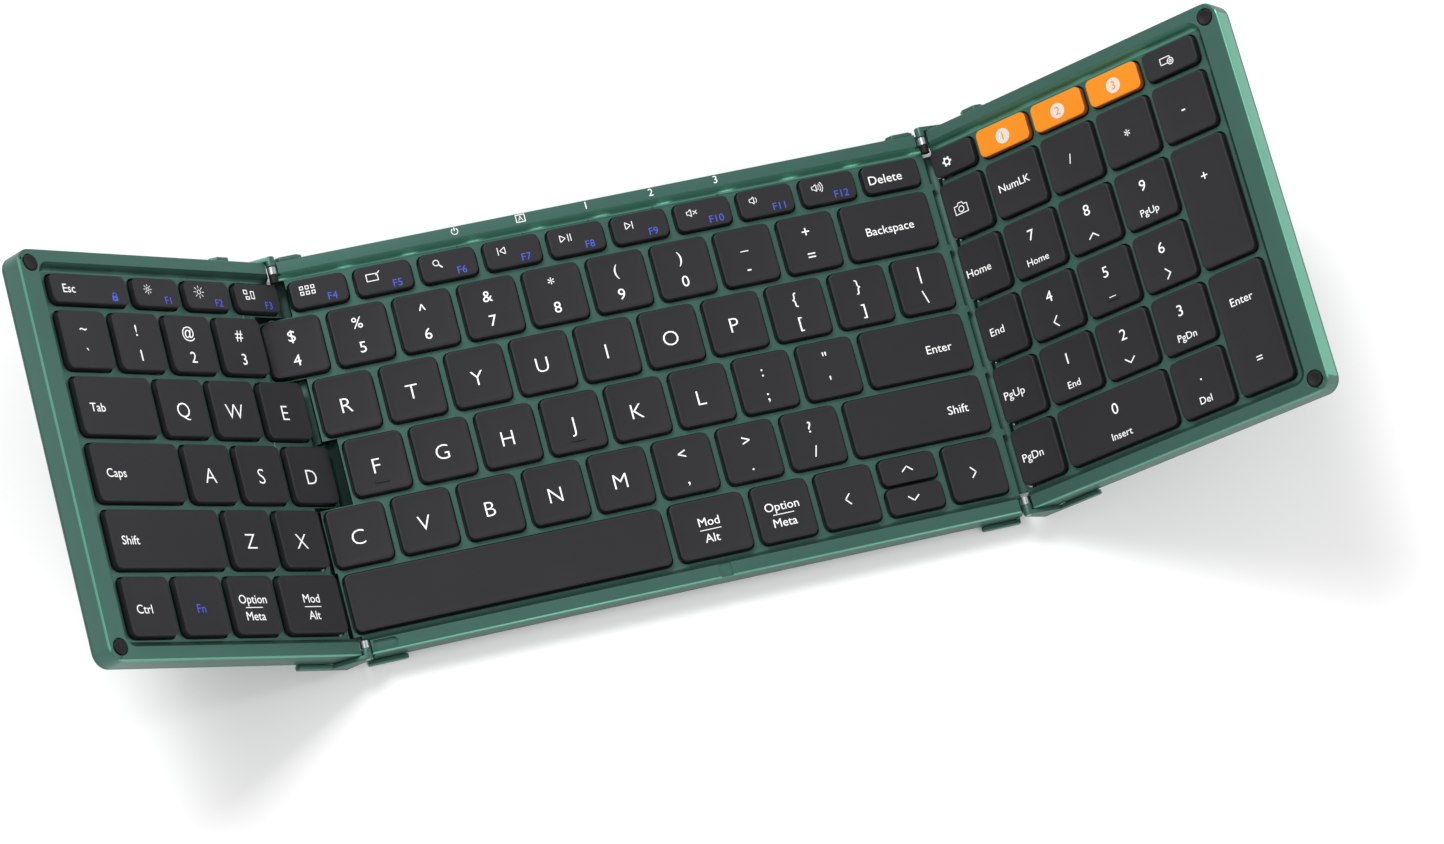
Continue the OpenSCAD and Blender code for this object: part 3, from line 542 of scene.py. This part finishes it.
# %% Homing bars
def homing_bar(key):
    x, y, width, depth = key
    bpy.ops.mesh.primitive_cube_add(size=1, location=(x + width / 2, y + 2.9, -0.02), scale=(4, 0.55, 0.42))
    bpy.ops.object.transform_apply(location=True, scale=True)
    bar = bpy.context.object
    edit(bar, edges=lambda a, b: a.z > 0.1 and b.z > 0.1)
    bpy.ops.mesh.bevel(offset=0.14, segments=3, affect="EDGES")
    return done()


BARRED = {"centre_home_keys": (0, 3), "keypad_four_keys": (2,)}

# %% Place every cap
for node, keys in node_keys.items():
    pieces = [keycap(key) for key in keys]
    pieces += [homing_bar(keys[i]) for i in BARRED.get(node, ())]
    caps = joined(pieces, f"{node}_caps")
    orange = node.startswith("channel")
    finishes = (channel_orange, channel_side_painted_shade) if orange else (key_black, key_side_painted_shade)
    settle(caps, panel_of(node), node, "channel_orange" if orange else "key_black", *finishes)
    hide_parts(node)
for model in caps_by_size.values():
    bpy.data.objects.remove(model)
print("caps of", len(caps_by_size), "sizes placed")

# %% [markdown]
# ## Legends
# Print is a thin raised layer on each cap. A legend is text turned into a mesh,
# or an icon put together from bars, rings and discs. Its height is given by its
# capital letters, so the font's own scale is measured first.

# %% Text as a mesh
INK_T = 0.03


def words(text, x, y, z, capital, condensed=1.0):
    """Text centred on a point, with capitals this many millimetres high."""
    bpy.ops.object.text_add(location=(0, 0, 0))
    made = bpy.context.object
    made.data.body = text
    made.data.align_x, made.data.align_y = "CENTER", "CENTER"
    made.data.resolution_u = 3
    made.data.extrude = 0.01
    made.data.offset = -0.012 if len(text) == 1 and text.isalpha() else 0
    bpy.ops.object.convert(target="MESH")
    made = bpy.context.object
    size = capital / CAPITAL_SHARE
    co = [v.co for v in made.data.vertices]
    middle_x = (min(c.x for c in co) + max(c.x for c in co)) / 2
    made.data.transform(Matrix.Translation((-middle_x, -CAPITAL_SHARE / 2 - BASELINE, 0)))
    made.data.transform(Matrix.Diagonal((size * condensed, size, INK_T / 0.02, 1)))
    made.data.transform(Matrix.Translation((x, y, z + INK_T / 2)))
    edit(made, faces=lambda f: True)
    bpy.ops.mesh.remove_doubles(threshold=0.0005)
    return done()


CAPITAL_SHARE, BASELINE = 1.0, 0.0
probe = words("H", 0, 0, 0, 1.0)
probe_y = [v.co.y + 0.5 for v in probe.data.vertices]
CAPITAL_SHARE, BASELINE = max(probe_y) - min(probe_y), min(probe_y)
bpy.data.objects.remove(probe)
print("capitals are", round(CAPITAL_SHARE, 3), "of the font's size, from", round(BASELINE, 3))

# %% [markdown]
# Icons are built flat from a few strokes: a bar from a cube, a disc or a ring
# from a circle that is inset and raised. All are closed and as thick as the ink.

# %% Strokes
def bar(x, y, width, height, z, turn=0.0):
    """A stroke with its middle at a point, turned by this many degrees."""
    bpy.ops.mesh.primitive_cube_add(size=1, location=(x, y, z + INK_T / 2), scale=(width, height, INK_T),
                                    rotation=(0, 0, math.radians(turn)))
    bpy.ops.object.transform_apply(location=True, rotation=True, scale=True)
    return bpy.context.object


def stroke(x0, y0, x1, y1, z, width):
    """A bar between two points."""
    length = math.hypot(x1 - x0, y1 - y0) + width * 0.5
    return bar((x0 + x1) / 2, (y0 + y1) / 2, length, width, z, math.degrees(math.atan2(y1 - y0, x1 - x0)))


def disc(x, y, radius, z, sides):
    bpy.ops.mesh.primitive_cylinder_add(vertices=sides, radius=radius, depth=INK_T,
                                        location=(x, y, z + INK_T / 2))
    bpy.ops.object.transform_apply(location=True)
    return bpy.context.object


def ring(x, y, radius, width, z, sides=20):
    """A ring: the faces of a short tube's ends, inset and joined through."""
    bpy.ops.mesh.primitive_circle_add(vertices=sides, radius=radius, fill_type="NGON", location=(x, y, z))
    bpy.ops.object.transform_apply(location=True)
    made = bpy.context.object
    edit(made, faces=lambda f: True)
    bpy.ops.mesh.inset(thickness=width, depth=0)
    bpy.ops.mesh.delete(type="FACE")
    bpy.ops.mesh.select_all(action="SELECT")
    bpy.ops.mesh.extrude_region_move(TRANSFORM_OT_translate={"value": (0, 0, INK_T)})
    bpy.ops.mesh.select_all(action="SELECT")
    bpy.ops.mesh.normals_make_consistent(inside=False)
    return done()


def frame_of(x, y, width, height, z, stroke_w):
    """A rectangle drawn as four bars."""
    return [bar(x, y + s * (height - stroke_w) / 2, width, stroke_w, z) for s in (-1, 1)] + \
           [bar(x + s * (width - stroke_w) / 2, y, stroke_w, height - 2 * stroke_w, z) for s in (-1, 1)]


def path(points, z, width):
    return [stroke(*a, *b, z, width) for a, b in zip(points, points[1:])]


# %% Icons of the function row
THIN = 0.2


def sun(x, y, z, size):
    rays = []
    for k in range(8):
        a = math.radians(45 * k)
        rays.append(stroke(x + 0.62 * size * math.cos(a), y + 0.62 * size * math.sin(a),
                           x + size * math.cos(a), y + size * math.sin(a), z, 0.8 * THIN))
    return rays + [ring(x, y, 0.38 * size, 0.8 * THIN, z, 16)]


def panes(x, y, z):
    """Two windows and a side window: the switch between tasks."""
    places = ((-0.95, 0.55, 1.1, 1.0), (-0.55, -0.75, 1.1, 0.75), (0.95, -0.05, 1.05, 1.75))
    return [piece for dx, dy, w, h in places for piece in frame_of(x + dx, y + dy, w, h, z, THIN)]


def tiles(x, y, z):
    return [piece for i in (-1, 0, 1) for j in (-0.5, 0.5)
            for piece in frame_of(x + 1.25 * i, y + 1.25 * j, 0.85, 0.85, z, 0.17)]


def board_and_pen(x, y, z):
    return frame_of(x - 0.1, y - 0.1, 2.9, 1.9, z, THIN) + [stroke(x + 0.9, y + 0.3, x + 1.8, y + 1.2, z, THIN)]


def magnifier(x, y, z):
    return [ring(x - 0.25, y + 0.3, 0.85, THIN, z), stroke(x + 0.35, y - 0.3, x + 1.15, y - 1.1, z, 0.34)]


def arrow_head(x, y, z, size, pointing):
    """A triangle outline that points right (1) or left (-1)."""
    tip, back = x + pointing * size * 0.8, x - pointing * size * 0.7
    return path([(back, y - size), (tip, y), (back, y + size), (back, y - size)], z, THIN)


def previous_track(x, y, z):
    return arrow_head(x + 0.3, y, z, 0.95, -1) + [bar(x - 0.95, y, THIN, 2.1, z)]


def next_track(x, y, z):
    return arrow_head(x - 0.3, y, z, 0.95, 1) + [bar(x + 0.95, y, THIN, 2.1, z)]


def play_pause(x, y, z):
    return arrow_head(x - 0.75, y, z, 0.95, 1) + [bar(x + 0.75 + 0.7 * s, y, THIN, 2.0, z) for s in (0, 1)]


def speaker(x, y, z):
    return path([(x - 1.5, y - 0.45), (x - 1.0, y - 0.45), (x - 0.25, y - 1.05), (x - 0.25, y + 1.05),
                 (x - 1.0, y + 0.45), (x - 1.5, y + 0.45), (x - 1.5, y - 0.45)], z, THIN)


def wave(x, y, z, radius):
    """One sound wave: an arc of short strokes to the right of a point."""
    angles = [math.radians(a) for a in (-45, -22, 0, 22, 45)]
    return path([(x + radius * math.cos(a), y + radius * math.sin(a)) for a in angles], z, THIN)


def mute(x, y, z):
    return speaker(x, y, z) + [stroke(x + 0.35, y - 0.5, x + 1.35, y + 0.5, z, THIN),
                               stroke(x + 0.35, y + 0.5, x + 1.35, y - 0.5, z, THIN)]


def quieter(x, y, z):
    return speaker(x, y, z) + wave(x - 0.4, y, z, 0.95)


def louder(x, y, z):
    return speaker(x, y, z) + [p for r in (0.8, 1.4, 2.0) for p in wave(x - 0.4, y, z, r)]


# %% Icons of the right wing and the chevrons
def gear(x, y, z):
    teeth = [bar(x + 0.98 * math.cos(math.radians(a)), y + 0.98 * math.sin(math.radians(a)), 0.42, 0.42, z, a)
             for a in range(0, 360, 60)]
    return teeth + [ring(x, y, 0.9, 0.36, z, 18)]


def camera_icon(x, y, z):
    body = [(x - 1.7, y - 1.2), (x + 1.7, y - 1.2), (x + 1.7, y + 0.8), (x + 0.85, y + 0.8), (x + 0.5, y + 1.4),
            (x - 0.5, y + 1.4), (x - 0.85, y + 0.8), (x - 1.7, y + 0.8), (x - 1.7, y - 1.2)]
    return path(body, z, THIN) + [ring(x, y - 0.15, 0.78, THIN, z)]


def screen_icon(x, y, z):
    screen = [(x + 0.4, y - 0.7), (x - 1.7, y - 0.7), (x - 1.7, y + 0.9), (x + 1.1, y + 0.9),
              (x + 1.1, y + 0.5)]
    lens = (x + 1.0, y - 0.45)
    return path(screen, z, THIN) + [ring(*lens, 0.9, THIN, z), ring(*lens, 0.42, THIN, z, 14)]


def chevron(x, y, z, size, turn):
    """An open arrow: turn 0 points right, 90 up."""
    c, s = math.cos(math.radians(turn)), math.sin(math.radians(turn))
    corners = [(-0.45 * size, size), (0.45 * size, 0), (-0.45 * size, -size)]
    return path([(x + u * c - v * s, y + u * s + v * c) for u, v in corners], z, 0.34)


def padlock(x, y, z):
    """A closed lock with a keyhole left bare: body in strokes round the hole, and a shackle."""
    hole = frame_of(x, y - 0.45, 1.9, 1.5, z, 0.55)
    return hole + path([(x - 0.6, y + 0.3), (x - 0.6, y + 0.85), (x - 0.3, y + 1.15), (x + 0.3, y + 1.15),
                        (x + 0.6, y + 0.85), (x + 0.6, y + 0.3)], z, 0.3)


print("icons ready")

# %% [markdown]
# Each key's legends are listed as (what, x, y, size), measured from the key's
# middle. The size is the height of a word's capitals, or an icon's scale, where
# 0 is as drawn. The two system keys say plain words, and the space bar is bare.

# %% What the keys say
LETTER, DIGIT, WORD, NAV_WORD, SMALL_WORD, CODE = 4.2, 3.1, 2.35, 2.2, 1.95, 2.05
MIDDLE = (-0.6, -0.7)


def letter(text):
    return [(text, *MIDDLE, LETTER)]


def pair(upper, lower, capital=DIGIT):
    """Two marks, one over the other, as on the number row."""
    return [(upper, -0.5, 3.3, capital), (lower, -0.5, -4.0, capital)]


def stacked(upper, lower):
    """Two short words with a line between them."""
    return [(upper, -0.4, 1.65, WORD), ("line", -0.4, -0.75, 0), (lower, -0.5, -3.2, WORD)]


def function_key(icon, number, scale=1.0):
    return [(icon, -3.2, 0.8, scale), (f"F{number}", 3.5, -2.2, CODE)]


def pad(digit, below):
    if callable(below):
        return [(digit, -0.2, 2.8, 3.0), (below, -0.2, -4.9, 0)]
    return [(digit, -0.2, 2.8, 3.0), (below, -0.2, -4.8, SMALL_WORD)]


def pointing(turn, size=1.55):
    return lambda x, y, z: chevron(x, y, z, size, turn)


SAYS = {
    "left_function_keys": [[("Esc", -7.5, -0.1, WORD), (padlock, 8.4, -2.0, 0)],
                           function_key(lambda x, y, z: sun(x, y, z, 1.45), 1),
                           function_key(lambda x, y, z: sun(x, y, z, 1.85), 2), function_key(panes, 3, 1.35)],
    "left_number_keys": [pair("~", "`"), pair("!", "1"), pair("@", "2"), pair("#", "3")],
    "left_tab_keys": [[("Tab", -7.2, -0.6, WORD)], letter("Q"), letter("W"), letter("E")],
    "left_home_keys": [[("Caps", -8.1, -0.3, WORD)], letter("A"), letter("S"), letter("D")],
    "left_shift_keys": [[("Shift", -13.3, -0.4, WORD)], letter("Z"), letter("X")],
    "left_bottom_keys": [[("Ctrl", -2.2, -0.8, WORD)], [("Fn", -0.8, -0.8, WORD)],
                         stacked("Option", "Meta"), stacked("Mod", "Alt")],
    "centre_function_keys": [function_key(icon, 4 + i, scale) for i, (icon, scale) in enumerate((
        (tiles, 1.3), (board_and_pen, 1.2), (magnifier, 1.1), (previous_track, 1.1), (play_pause, 1.1),
        (next_track, 1.1), (mute, 1.05), (quieter, 1.05), (louder, 1.05)))] + [[("Delete", -2.0, -0.4, 2.5)]],
    "centre_number_keys": [pair(a, b) for a, b in zip("$%^&*()_+", "4567890-=")] +
        [[("Backspace", 0.1, -0.7, WORD)]],
    "centre_letter_keys": [letter(c) for c in "RTYUIOP"] +
        [pair("{", "["), pair("}", "]"), pair("|", "\\", 3.6)],
    "centre_home_keys": [letter(c) for c in "FGHJKL"] + [pair(":", ";"), pair("\"", "'"),
                                                         [("Enter", 6.6, -0.8, WORD)]],
    "centre_shift_keys": [letter(c) for c in "CVBNM"] + [pair("<", ","), pair(">", "."), pair("?", "/"),
                                                         [("Shift", 12.0, -0.6, WORD)]],
    "centre_bottom_keys": [stacked("Mod", "Alt"), stacked("Option", "Meta"),
                           [(pointing(180), -0.3, -0.7, 0)], [(pointing(270), -0.6, 0, 0)],
                           [(pointing(90), -0.4, 0, 0)], [(pointing(0), -0.7, -0.7, 0)]],
    "keypad_zero_keys": [[("PgDn", -1.6, -0.5, NAV_WORD)],
                         [("0", 0.4, 2.8, 3.0), ("Insert", 0.4, -4.8, SMALL_WORD)],
                         [(".", 0, 2.4, 3.0), ("Del", -0.2, -4.8, SMALL_WORD)]],
    "keypad_one_keys": [[("PgUp", -1.8, -0.5, NAV_WORD)], pad("1", "End"), pad("2", pointing(270)),
                        pad("3", "PgDn"),
                        [("Enter", -0.2, 8.4, NAV_WORD), ("=", 0, -9.2, 2.6)]],
    "keypad_four_keys": [[("End", -1.6, -0.4, NAV_WORD)], pad("4", pointing(180)),
                         [("5", 0, 2.8, 3.0), ("dash", 0.1, -4.7, 0)], pad("6", pointing(0))],
    "keypad_seven_keys": [[("Home", -1.8, -0.6, NAV_WORD)], pad("7", "Home"), pad("8", pointing(90)),
                          pad("9", "PgUp"), [("+", -0.1, 7.6, 2.8)]],
    "keypad_lock_keys": [[(camera_icon, -1.8, -0.3, 1.25)], [("NumLK", -0.7, 0, NAV_WORD)],
                         [("/", -0.5, -0.2, 2.6)], [("*", -0.1, -0.8, 3.0)], [("-", -0.4, -0.2, 3.0)]],
    "right_function_keys": [[(gear, -2.0, -0.4, 1.25)], [(screen_icon, -1.0, -0.2, 1.15)]]}
print("legends on", sum(len(says) for says in SAYS.values()), "keys")

# %% Print them
def grown(pieces, x, y, factor):
    """An icon's strokes, drawn larger about the point (x, y)."""
    about = Matrix.Translation((x, y, 0))
    for piece in pieces:
        piece.data.transform(about @ Matrix.Diagonal((factor, factor, 1, 1)) @ about.inverted())
    return pieces


def printed(what, x, y, z, capital):
    """The pieces of one legend."""
    if callable(what):
        return grown(what(x, y, z), x, y, capital or 1)
    if what == "line":
        return [bar(x, y, 6.2, 0.22, z)]
    if what == "dash":
        return [bar(x, y, 2.2, 0.24, z)]
    return [words(what, x, y, z, capital)]


def in_blue(what):
    """The second meanings, reached with the Fn key, are blue."""
    return what is padlock or what == "Fn" or (isinstance(what, str) and what[0] == "F" and what[1:].isdigit())


def draped(pieces, key):
    """Print follows the dish: what lies nearer the key's edge is lifted with the top."""
    for piece in pieces:
        for vertex in piece.data.vertices:
            vertex.co.z += top_at(key, vertex.co.x, vertex.co.y)
    return pieces


for node, says in SAYS.items():
    inked = {"white": [], "blue": []}
    for key, legends in zip(node_keys[node], says):
        x, y, width, depth = key
        for what, dx, dy, capital in legends:
            made = printed(what, x + width / 2 + dx, y + depth / 2 + dy, 0, capital)
            inked["blue" if in_blue(what) else "white"] += draped(made, key)
    for colour, pieces in inked.items():
        if pieces:
            legend = joined(pieces, f"{node}_{colour}_print")
            settle(legend, panel_of(node), node, "key_black", ink_white if colour == "white" else ink_blue)
print("printed", len(SAYS), "groups of keys")

# %% [markdown]
# The channel keys carry a pale disc with a plain digit in the key's own orange.

# %% Channel marks
for n in (1, 2, 3):
    x, y, width, depth = key = node_keys[f"channel_key_{n}"][0]
    middle = (x + width / 2, y + depth / 2 - 0.3)
    mark = disc(*middle, 2.25, floor_of(key), 32)
    settle(mark, "right", f"channel_key_{n}", "channel_orange", ink_grey)
    mark.name = f"channel_{n}_disc"
    digit = words(str(n), *middle, floor_of(key) + INK_T, 2.3)
    settle(digit, "right", f"channel_key_{n}", "channel_orange", channel_orange)
    digit.name = f"channel_{n}_digit"
print("channel marks placed")

# %% [markdown]
# Above the function row, beside the five lights, the rear rim says what each
# light is for: power, capitals, and the three channels.

# %% Marks on the rear rim
LIGHT_XS = [53.6 + 19.4 * i for i in range(5)]
MARK_Y = 108.4


def power_icon(x, y, z):
    angles = [math.radians(a) for a in range(40, 321, 35)]
    arc = [(x + 0.95 * math.sin(a), y + 0.95 * math.cos(a)) for a in angles]
    return path(arc, z, 0.3) + [bar(x, y + 0.65, 0.3, 1.1, z)]


marks = power_icon(LIGHT_XS[0], MARK_Y, RIM_Z)
marks += frame_of(LIGHT_XS[1], MARK_Y, 2.8, 2.4, RIM_Z, 0.24) + [words("A", LIGHT_XS[1], MARK_Y, RIM_Z, 1.5)]
marks += [words(str(n), LIGHT_XS[1 + n], MARK_Y, RIM_Z, 2.1) for n in (1, 2, 3)]
settle(joined(marks, "rear_rim_print"), "centre", "centre_panel", "frame_green", ink_white)
print("rear rim printed")

# %% [markdown]
# ## Softened metal and rubber
# Machined edges are never quite sharp: the outer rim has a chamfer, and the
# wells and straps have their burrs taken off. Each solid is copied, its
# triangles are merged back into flat faces, its sharp edges get a small bevel
# and its outer rim a wide one. Weighted normals keep the large faces flat under
# the light, and the copy then stands for the solid. The chamfer's brightness is
# a painted highlight, given by shade_wells.

# %% Soften a solid
def softened(node, panel, width, slight, rim=None, segments=2, cove=None):
    """width is the rim's bevel, and slight the share of it that other sharp edges get."""
    mesh = frame["nodes"][node].data.copy()
    mesh.transform(PLACE[panel].inverted())
    piece = bpy.data.objects.new(f"{node}_finished", mesh)
    bpy.context.collection.objects.link(piece)
    edit(piece, faces=lambda f: True)
    bpy.ops.mesh.remove_doubles(threshold=0.001)
    done()
    if node == "centre_top_frame":
        close_light_holes(piece)
    edit(piece, faces=lambda f: True)
    bpy.ops.mesh.dissolve_limited(angle_limit=math.radians(0.8))
    done()
    if cove:
        edit(piece, edges=cove)
        bpy.ops.mesh.bevel(offset=COVE, segments=4, affect="EDGES", clamp_overlap=False)
        done()
    edit(piece, faces=lambda f: True)
    bpy.ops.mesh.select_all(action="DESELECT")
    bpy.ops.mesh.select_mode(type="EDGE")
    bpy.ops.mesh.edges_select_sharp(sharpness=math.radians(34))
    bpy.ops.transform.edge_bevelweight(value=slight)
    done()
    if node == "centre_top_frame":
        edit(piece, edges=lambda a, b: in_pocket(a) and in_pocket(b))
        bpy.ops.transform.edge_bevelweight(value=-1)
        done()
    if rim:
        edit(piece, edges=rim)
        bpy.ops.transform.edge_bevelweight(value=1)
        done()
    soft = piece.modifiers.new("edges", "BEVEL")
    soft.width, soft.segments, soft.limit_method = width, segments, "WEIGHT"
    soft.use_clamp_overlap = False
    bpy.ops.object.modifier_apply(modifier=soft.name)
    bpy.ops.object.shade_smooth_by_angle(angle=math.radians(32))
    flat = piece.modifiers.new("flat_faces", "WEIGHTED_NORMAL")
    flat.keep_sharp = True
    bpy.ops.object.modifier_apply(modifier=flat.name)
    return piece


def in_pocket(co):
    """In the shallow pocket near the left end of the front rim, whose edges stay sharp."""
    return POCKET_X[0] < co.x < POCKET_X[1] and POCKET_Y[0] < co.y < POCKET_Y[1] and co.z > POCKET_Z


def close_light_holes(piece):
    """Takes out the walls of the five light holes, and closes the deck round the light pipes."""
    def near_light(co):
        return min(math.hypot(co.x - x, co.y - LIGHT_Y) for x in LIGHT_XS) < 0.4

    edit(piece, faces=lambda f: near_light(f.center) and abs(f.normal.z) < 0.5)
    bpy.ops.mesh.delete(type="FACE")
    bpy.ops.mesh.select_mode(type="EDGE")
    bpy.ops.mesh.select_non_manifold()
    bpy.ops.mesh.edge_face_add()
    done()


def foot_of_slope(left, right):
    """A test for the edges where the slope inside the rim meets the deck."""
    x0, x1 = left + SLOPE_IN_X, right - SLOPE_IN_X
    y0, y1 = FRONT_Y + SLOPE_IN_FRONT, REAR_Y - SLOPE_IN_REAR

    def test(a, b):
        if max(abs(a.z - DECK_Z), abs(b.z - DECK_Z)) > 0.01:
            return False
        x, y = (a.x + b.x) / 2, (a.y + b.y) / 2
        on_line = min(abs(y - y0), abs(y - y1), abs(x - x0), abs(x - x1)) < 0.01
        in_corner = min(abs(x - x0), abs(x - x1)) < INNER_R and min(abs(y - y0), abs(y - y1)) < INNER_R
        return on_line or (in_corner and math.hypot(a.x - b.x, a.y - b.y) < 0.8
                           and abs(math.hypot(max(x0 + INNER_R - x, x - x1 + INNER_R),
                                              max(y0 + INNER_R - y, y - y1 + INNER_R)) - INNER_R) < 0.05)
    return test


def outer_rim(left, right, level):
    """A test for edges along the outline of a panel, at one level."""
    def test(a, b):
        if abs(a.z - level) > 0.02 or abs(b.z - level) > 0.02:
            return False
        x, y = (a.x + b.x) / 2, (a.y + b.y) / 2
        from_side = min(abs(x - left), abs(x - right))
        from_end = min(abs(y - FRONT_Y), abs(y - REAR_Y))
        on_corner = max(from_side, from_end) < OUTER_R and math.hypot(a.x - b.x, a.y - b.y) < 3
        return from_end < 0.05 or from_side < 0.05 or on_corner
    return test


def shade_wells(piece, slope_highlight):
    """Paints light and shade on a top frame: walls below the deck get a dark painted shade and
    ledges a painted shade green. The outer chamfer, the right wing's outer side and, if asked,
    the rear slope's foot get a painted highlight."""
    slope_foot = REAR_Y - SLOPE_IN_REAR
    for face in piece.data.polygons:
        x, y, z = face.center
        inside = LEFT_X + 2 < x < RIGHT_X - 2 and FRONT_Y + 4 < y < REAR_Y - 4
        if inside and z < DECK_Z - 0.05:
            face.material_index = WALL if face.normal.z < 0.4 else LEDGE
        if slope_highlight and abs(y - slope_foot) < COVE + 0.1 and z > DECK_Z and -0.9 < face.normal.y < -0.12:
            face.material_index = BRIGHT
        near_edge = min(x - LEFT_X, RIGHT_X - x, y - FRONT_Y) < 0.5
        if (near_edge and 0.02 < z < RIM_Z - 0.01) or x > RIGHT_X - 0.1:
            face.material_index = BRIGHT


SLOPE_IN_X, SLOPE_IN_FRONT, SLOPE_IN_REAR = 7.8, 5.3, 4.8
INNER_R, OUTER_R = 2.4, 4.6     # how far the slope's and the rim's round corners reach
POCKET_X, POCKET_Y, POCKET_Z = (2, 10), (-6.4, -3.1), -0.4
COVE = 0.8              # the slope runs out into the deck in a hollow curve this wide
LIGHT_Y = 104.5
# WALL and LEDGE take painted shade and BRIGHT a painted highlight.
WALL, LEDGE, BRIGHT = 1, 2, 3       # places of the finishes after the panel's own
SPAN = {"left": (LEFT_X, 1000), "centre": (-1000, 1000), "right": (-1000, RIGHT_X)}
for panel, (left, right) in SPAN.items():
    for kind, finish, level, width in (("top_frame", frame_green, RIM_Z, 0.45),
                                       ("bottom_cover", cover_green, COVER_Z, 0.45)):
        node = f"{panel}_{kind}"
        top = kind == "top_frame"
        metal = softened(node, panel, width, 0.28, outer_rim(left, right, level),
                         cove=foot_of_slope(left, right) if top else None)
        if top:
            # Painted shade and highlights; the left wing's rear slope foot gets no painted highlight.
            shade_wells(metal, slope_highlight=panel != "left")
        settle(metal, panel, WING[panel], "frame_green" if top else "cover_green",
               finish, well_shade, seam_painted_shade, painted_highlight_green)
        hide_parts(node)
        print(node, len(metal.data.polygons), "faces")

# %% Hinge straps, feet and bumpers
for side in ("left", "right"):
    for end in ("front", "rear"):
        for kind, panel in (("arm", side), ("bracket", "centre")):
            node = f"{side}_{end}_hinge_{kind}"
            metal = softened(node, panel, 0.22, 1)
            settle(metal, panel, WING[panel], "frame_green", frame_green)
            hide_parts(node)
for node, panel in (("centre_feet", "centre"), ("left_feet", "left"), ("right_feet", "right"),
                    ("left_bumpers", "left"), ("right_bumpers", "right")):
    rubber = softened(node, panel, 0.3, 1, segments=3)
    if node.endswith("bumpers"):
        edit(rubber, faces=lambda f: f.normal.z > 0.999)
        bpy.ops.mesh.inset(thickness=0.5, depth=0)
        bpy.ops.mesh.inset(thickness=0.25, depth=-0.18)
        done()
    settle(rubber, panel, WING[panel], "rubber_black", rubber_black)
    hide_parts(node)
print("hinges, feet and bumpers softened")

# %% [markdown]
# Two small made-up pieces paint shade where the desk would show through the
# seams. Between the rows, short tongues in the seam's painted shade green lengthen
# the centre panel's ledge under the right wing, and at the rear a dark sleeve
# covers the end of each hinge pin.

# %% Seam tongues and pin sleeves
TONGUE_X = (2.9, 4.0)           # from the right fold axis
TONGUE_Y = (-0.8, 2.4)          # from the middle of the gap between two rows
TONGUE_Z = (-3.65, -3.3)        # under the wing's deck, and inside what its plates sweep
SLEEVE_Y, SLEEVE_R = (103.6, 106.3), 1.28


def tongue(row):
    """A thin tongue from the centre panel's ledge out under the wing, behind a row of keys; it carries painted
    shade into the gap.
    """
    gap_y = (row * ROW_PITCH + KEY_D + (row + 1) * ROW_PITCH) / 2
    bounds = (TONGUE_X, TONGUE_Y, TONGUE_Z)
    middle = Vector([sum(ends) / 2 for ends in bounds]) + Vector((HINGE_SPAN, gap_y, 0))
    bpy.ops.mesh.primitive_cube_add(size=1, location=middle, scale=[high - low for low, high in bounds])
    bpy.ops.object.transform_apply(location=True, scale=True)
    return bpy.context.object


def sleeve(axis_x):
    """A sleeve over the rear end of a fold axis, given dark rubber as painted shade."""
    y0, y1 = SLEEVE_Y
    bpy.ops.mesh.primitive_cylinder_add(vertices=32, radius=SLEEVE_R, depth=y1 - y0,
                                        location=(axis_x, (y0 + y1) / 2, AXIS_Z), rotation=(math.pi / 2, 0, 0))
    bpy.ops.object.transform_apply(location=True, rotation=True)
    bpy.ops.object.shade_smooth_by_angle(angle=math.radians(35))
    return bpy.context.object


tongues = joined([tongue(row) for row in range(5)], "right_seam_shade_tongues")
settle(tongues, "centre", "centre_panel", "frame_green", seam_painted_shade)
sleeves = joined([sleeve(x) for x in (0, HINGE_SPAN)], "rear_pin_shade_sleeves")
settle(sleeves, "centre", "centre_panel", "rubber_black", rubber_black)
print("tongues and sleeves placed")

# %% [markdown]
# ## The rest of the solids
# What is inside, and small turned pieces, keep their solids and get a finish.

# %% Finishes for the solids that stay
FINISH_OF = {
    "steel": steel, "dome_rubber": dome_rubber, "link_white": link_white, "battery_foil": battery_foil,
    "board_green": board_green, "light_white": light_smoke, "ribbon_film": ribbon_film,
    "magnet_grey": magnet_grey, "frame_green": frame_green, "cover_green": cover_green,
    "key_black": key_black, "channel_orange": channel_orange, "rubber_black": rubber_black}
slot_of = {part["node"]: part["material_slot"] for part in frame["record"]["subparts"]}
for name, solid in frame["nodes"].items():
    if not solid.hide_render:
        solid.data.materials.clear()
        solid.data.materials.append(plate_coat_and_shade if name.endswith("key_plate") else FINISH_OF[slot_of[name]])
print("solids still shown:", sorted(n for n, o in frame["nodes"].items() if not o.hide_render))
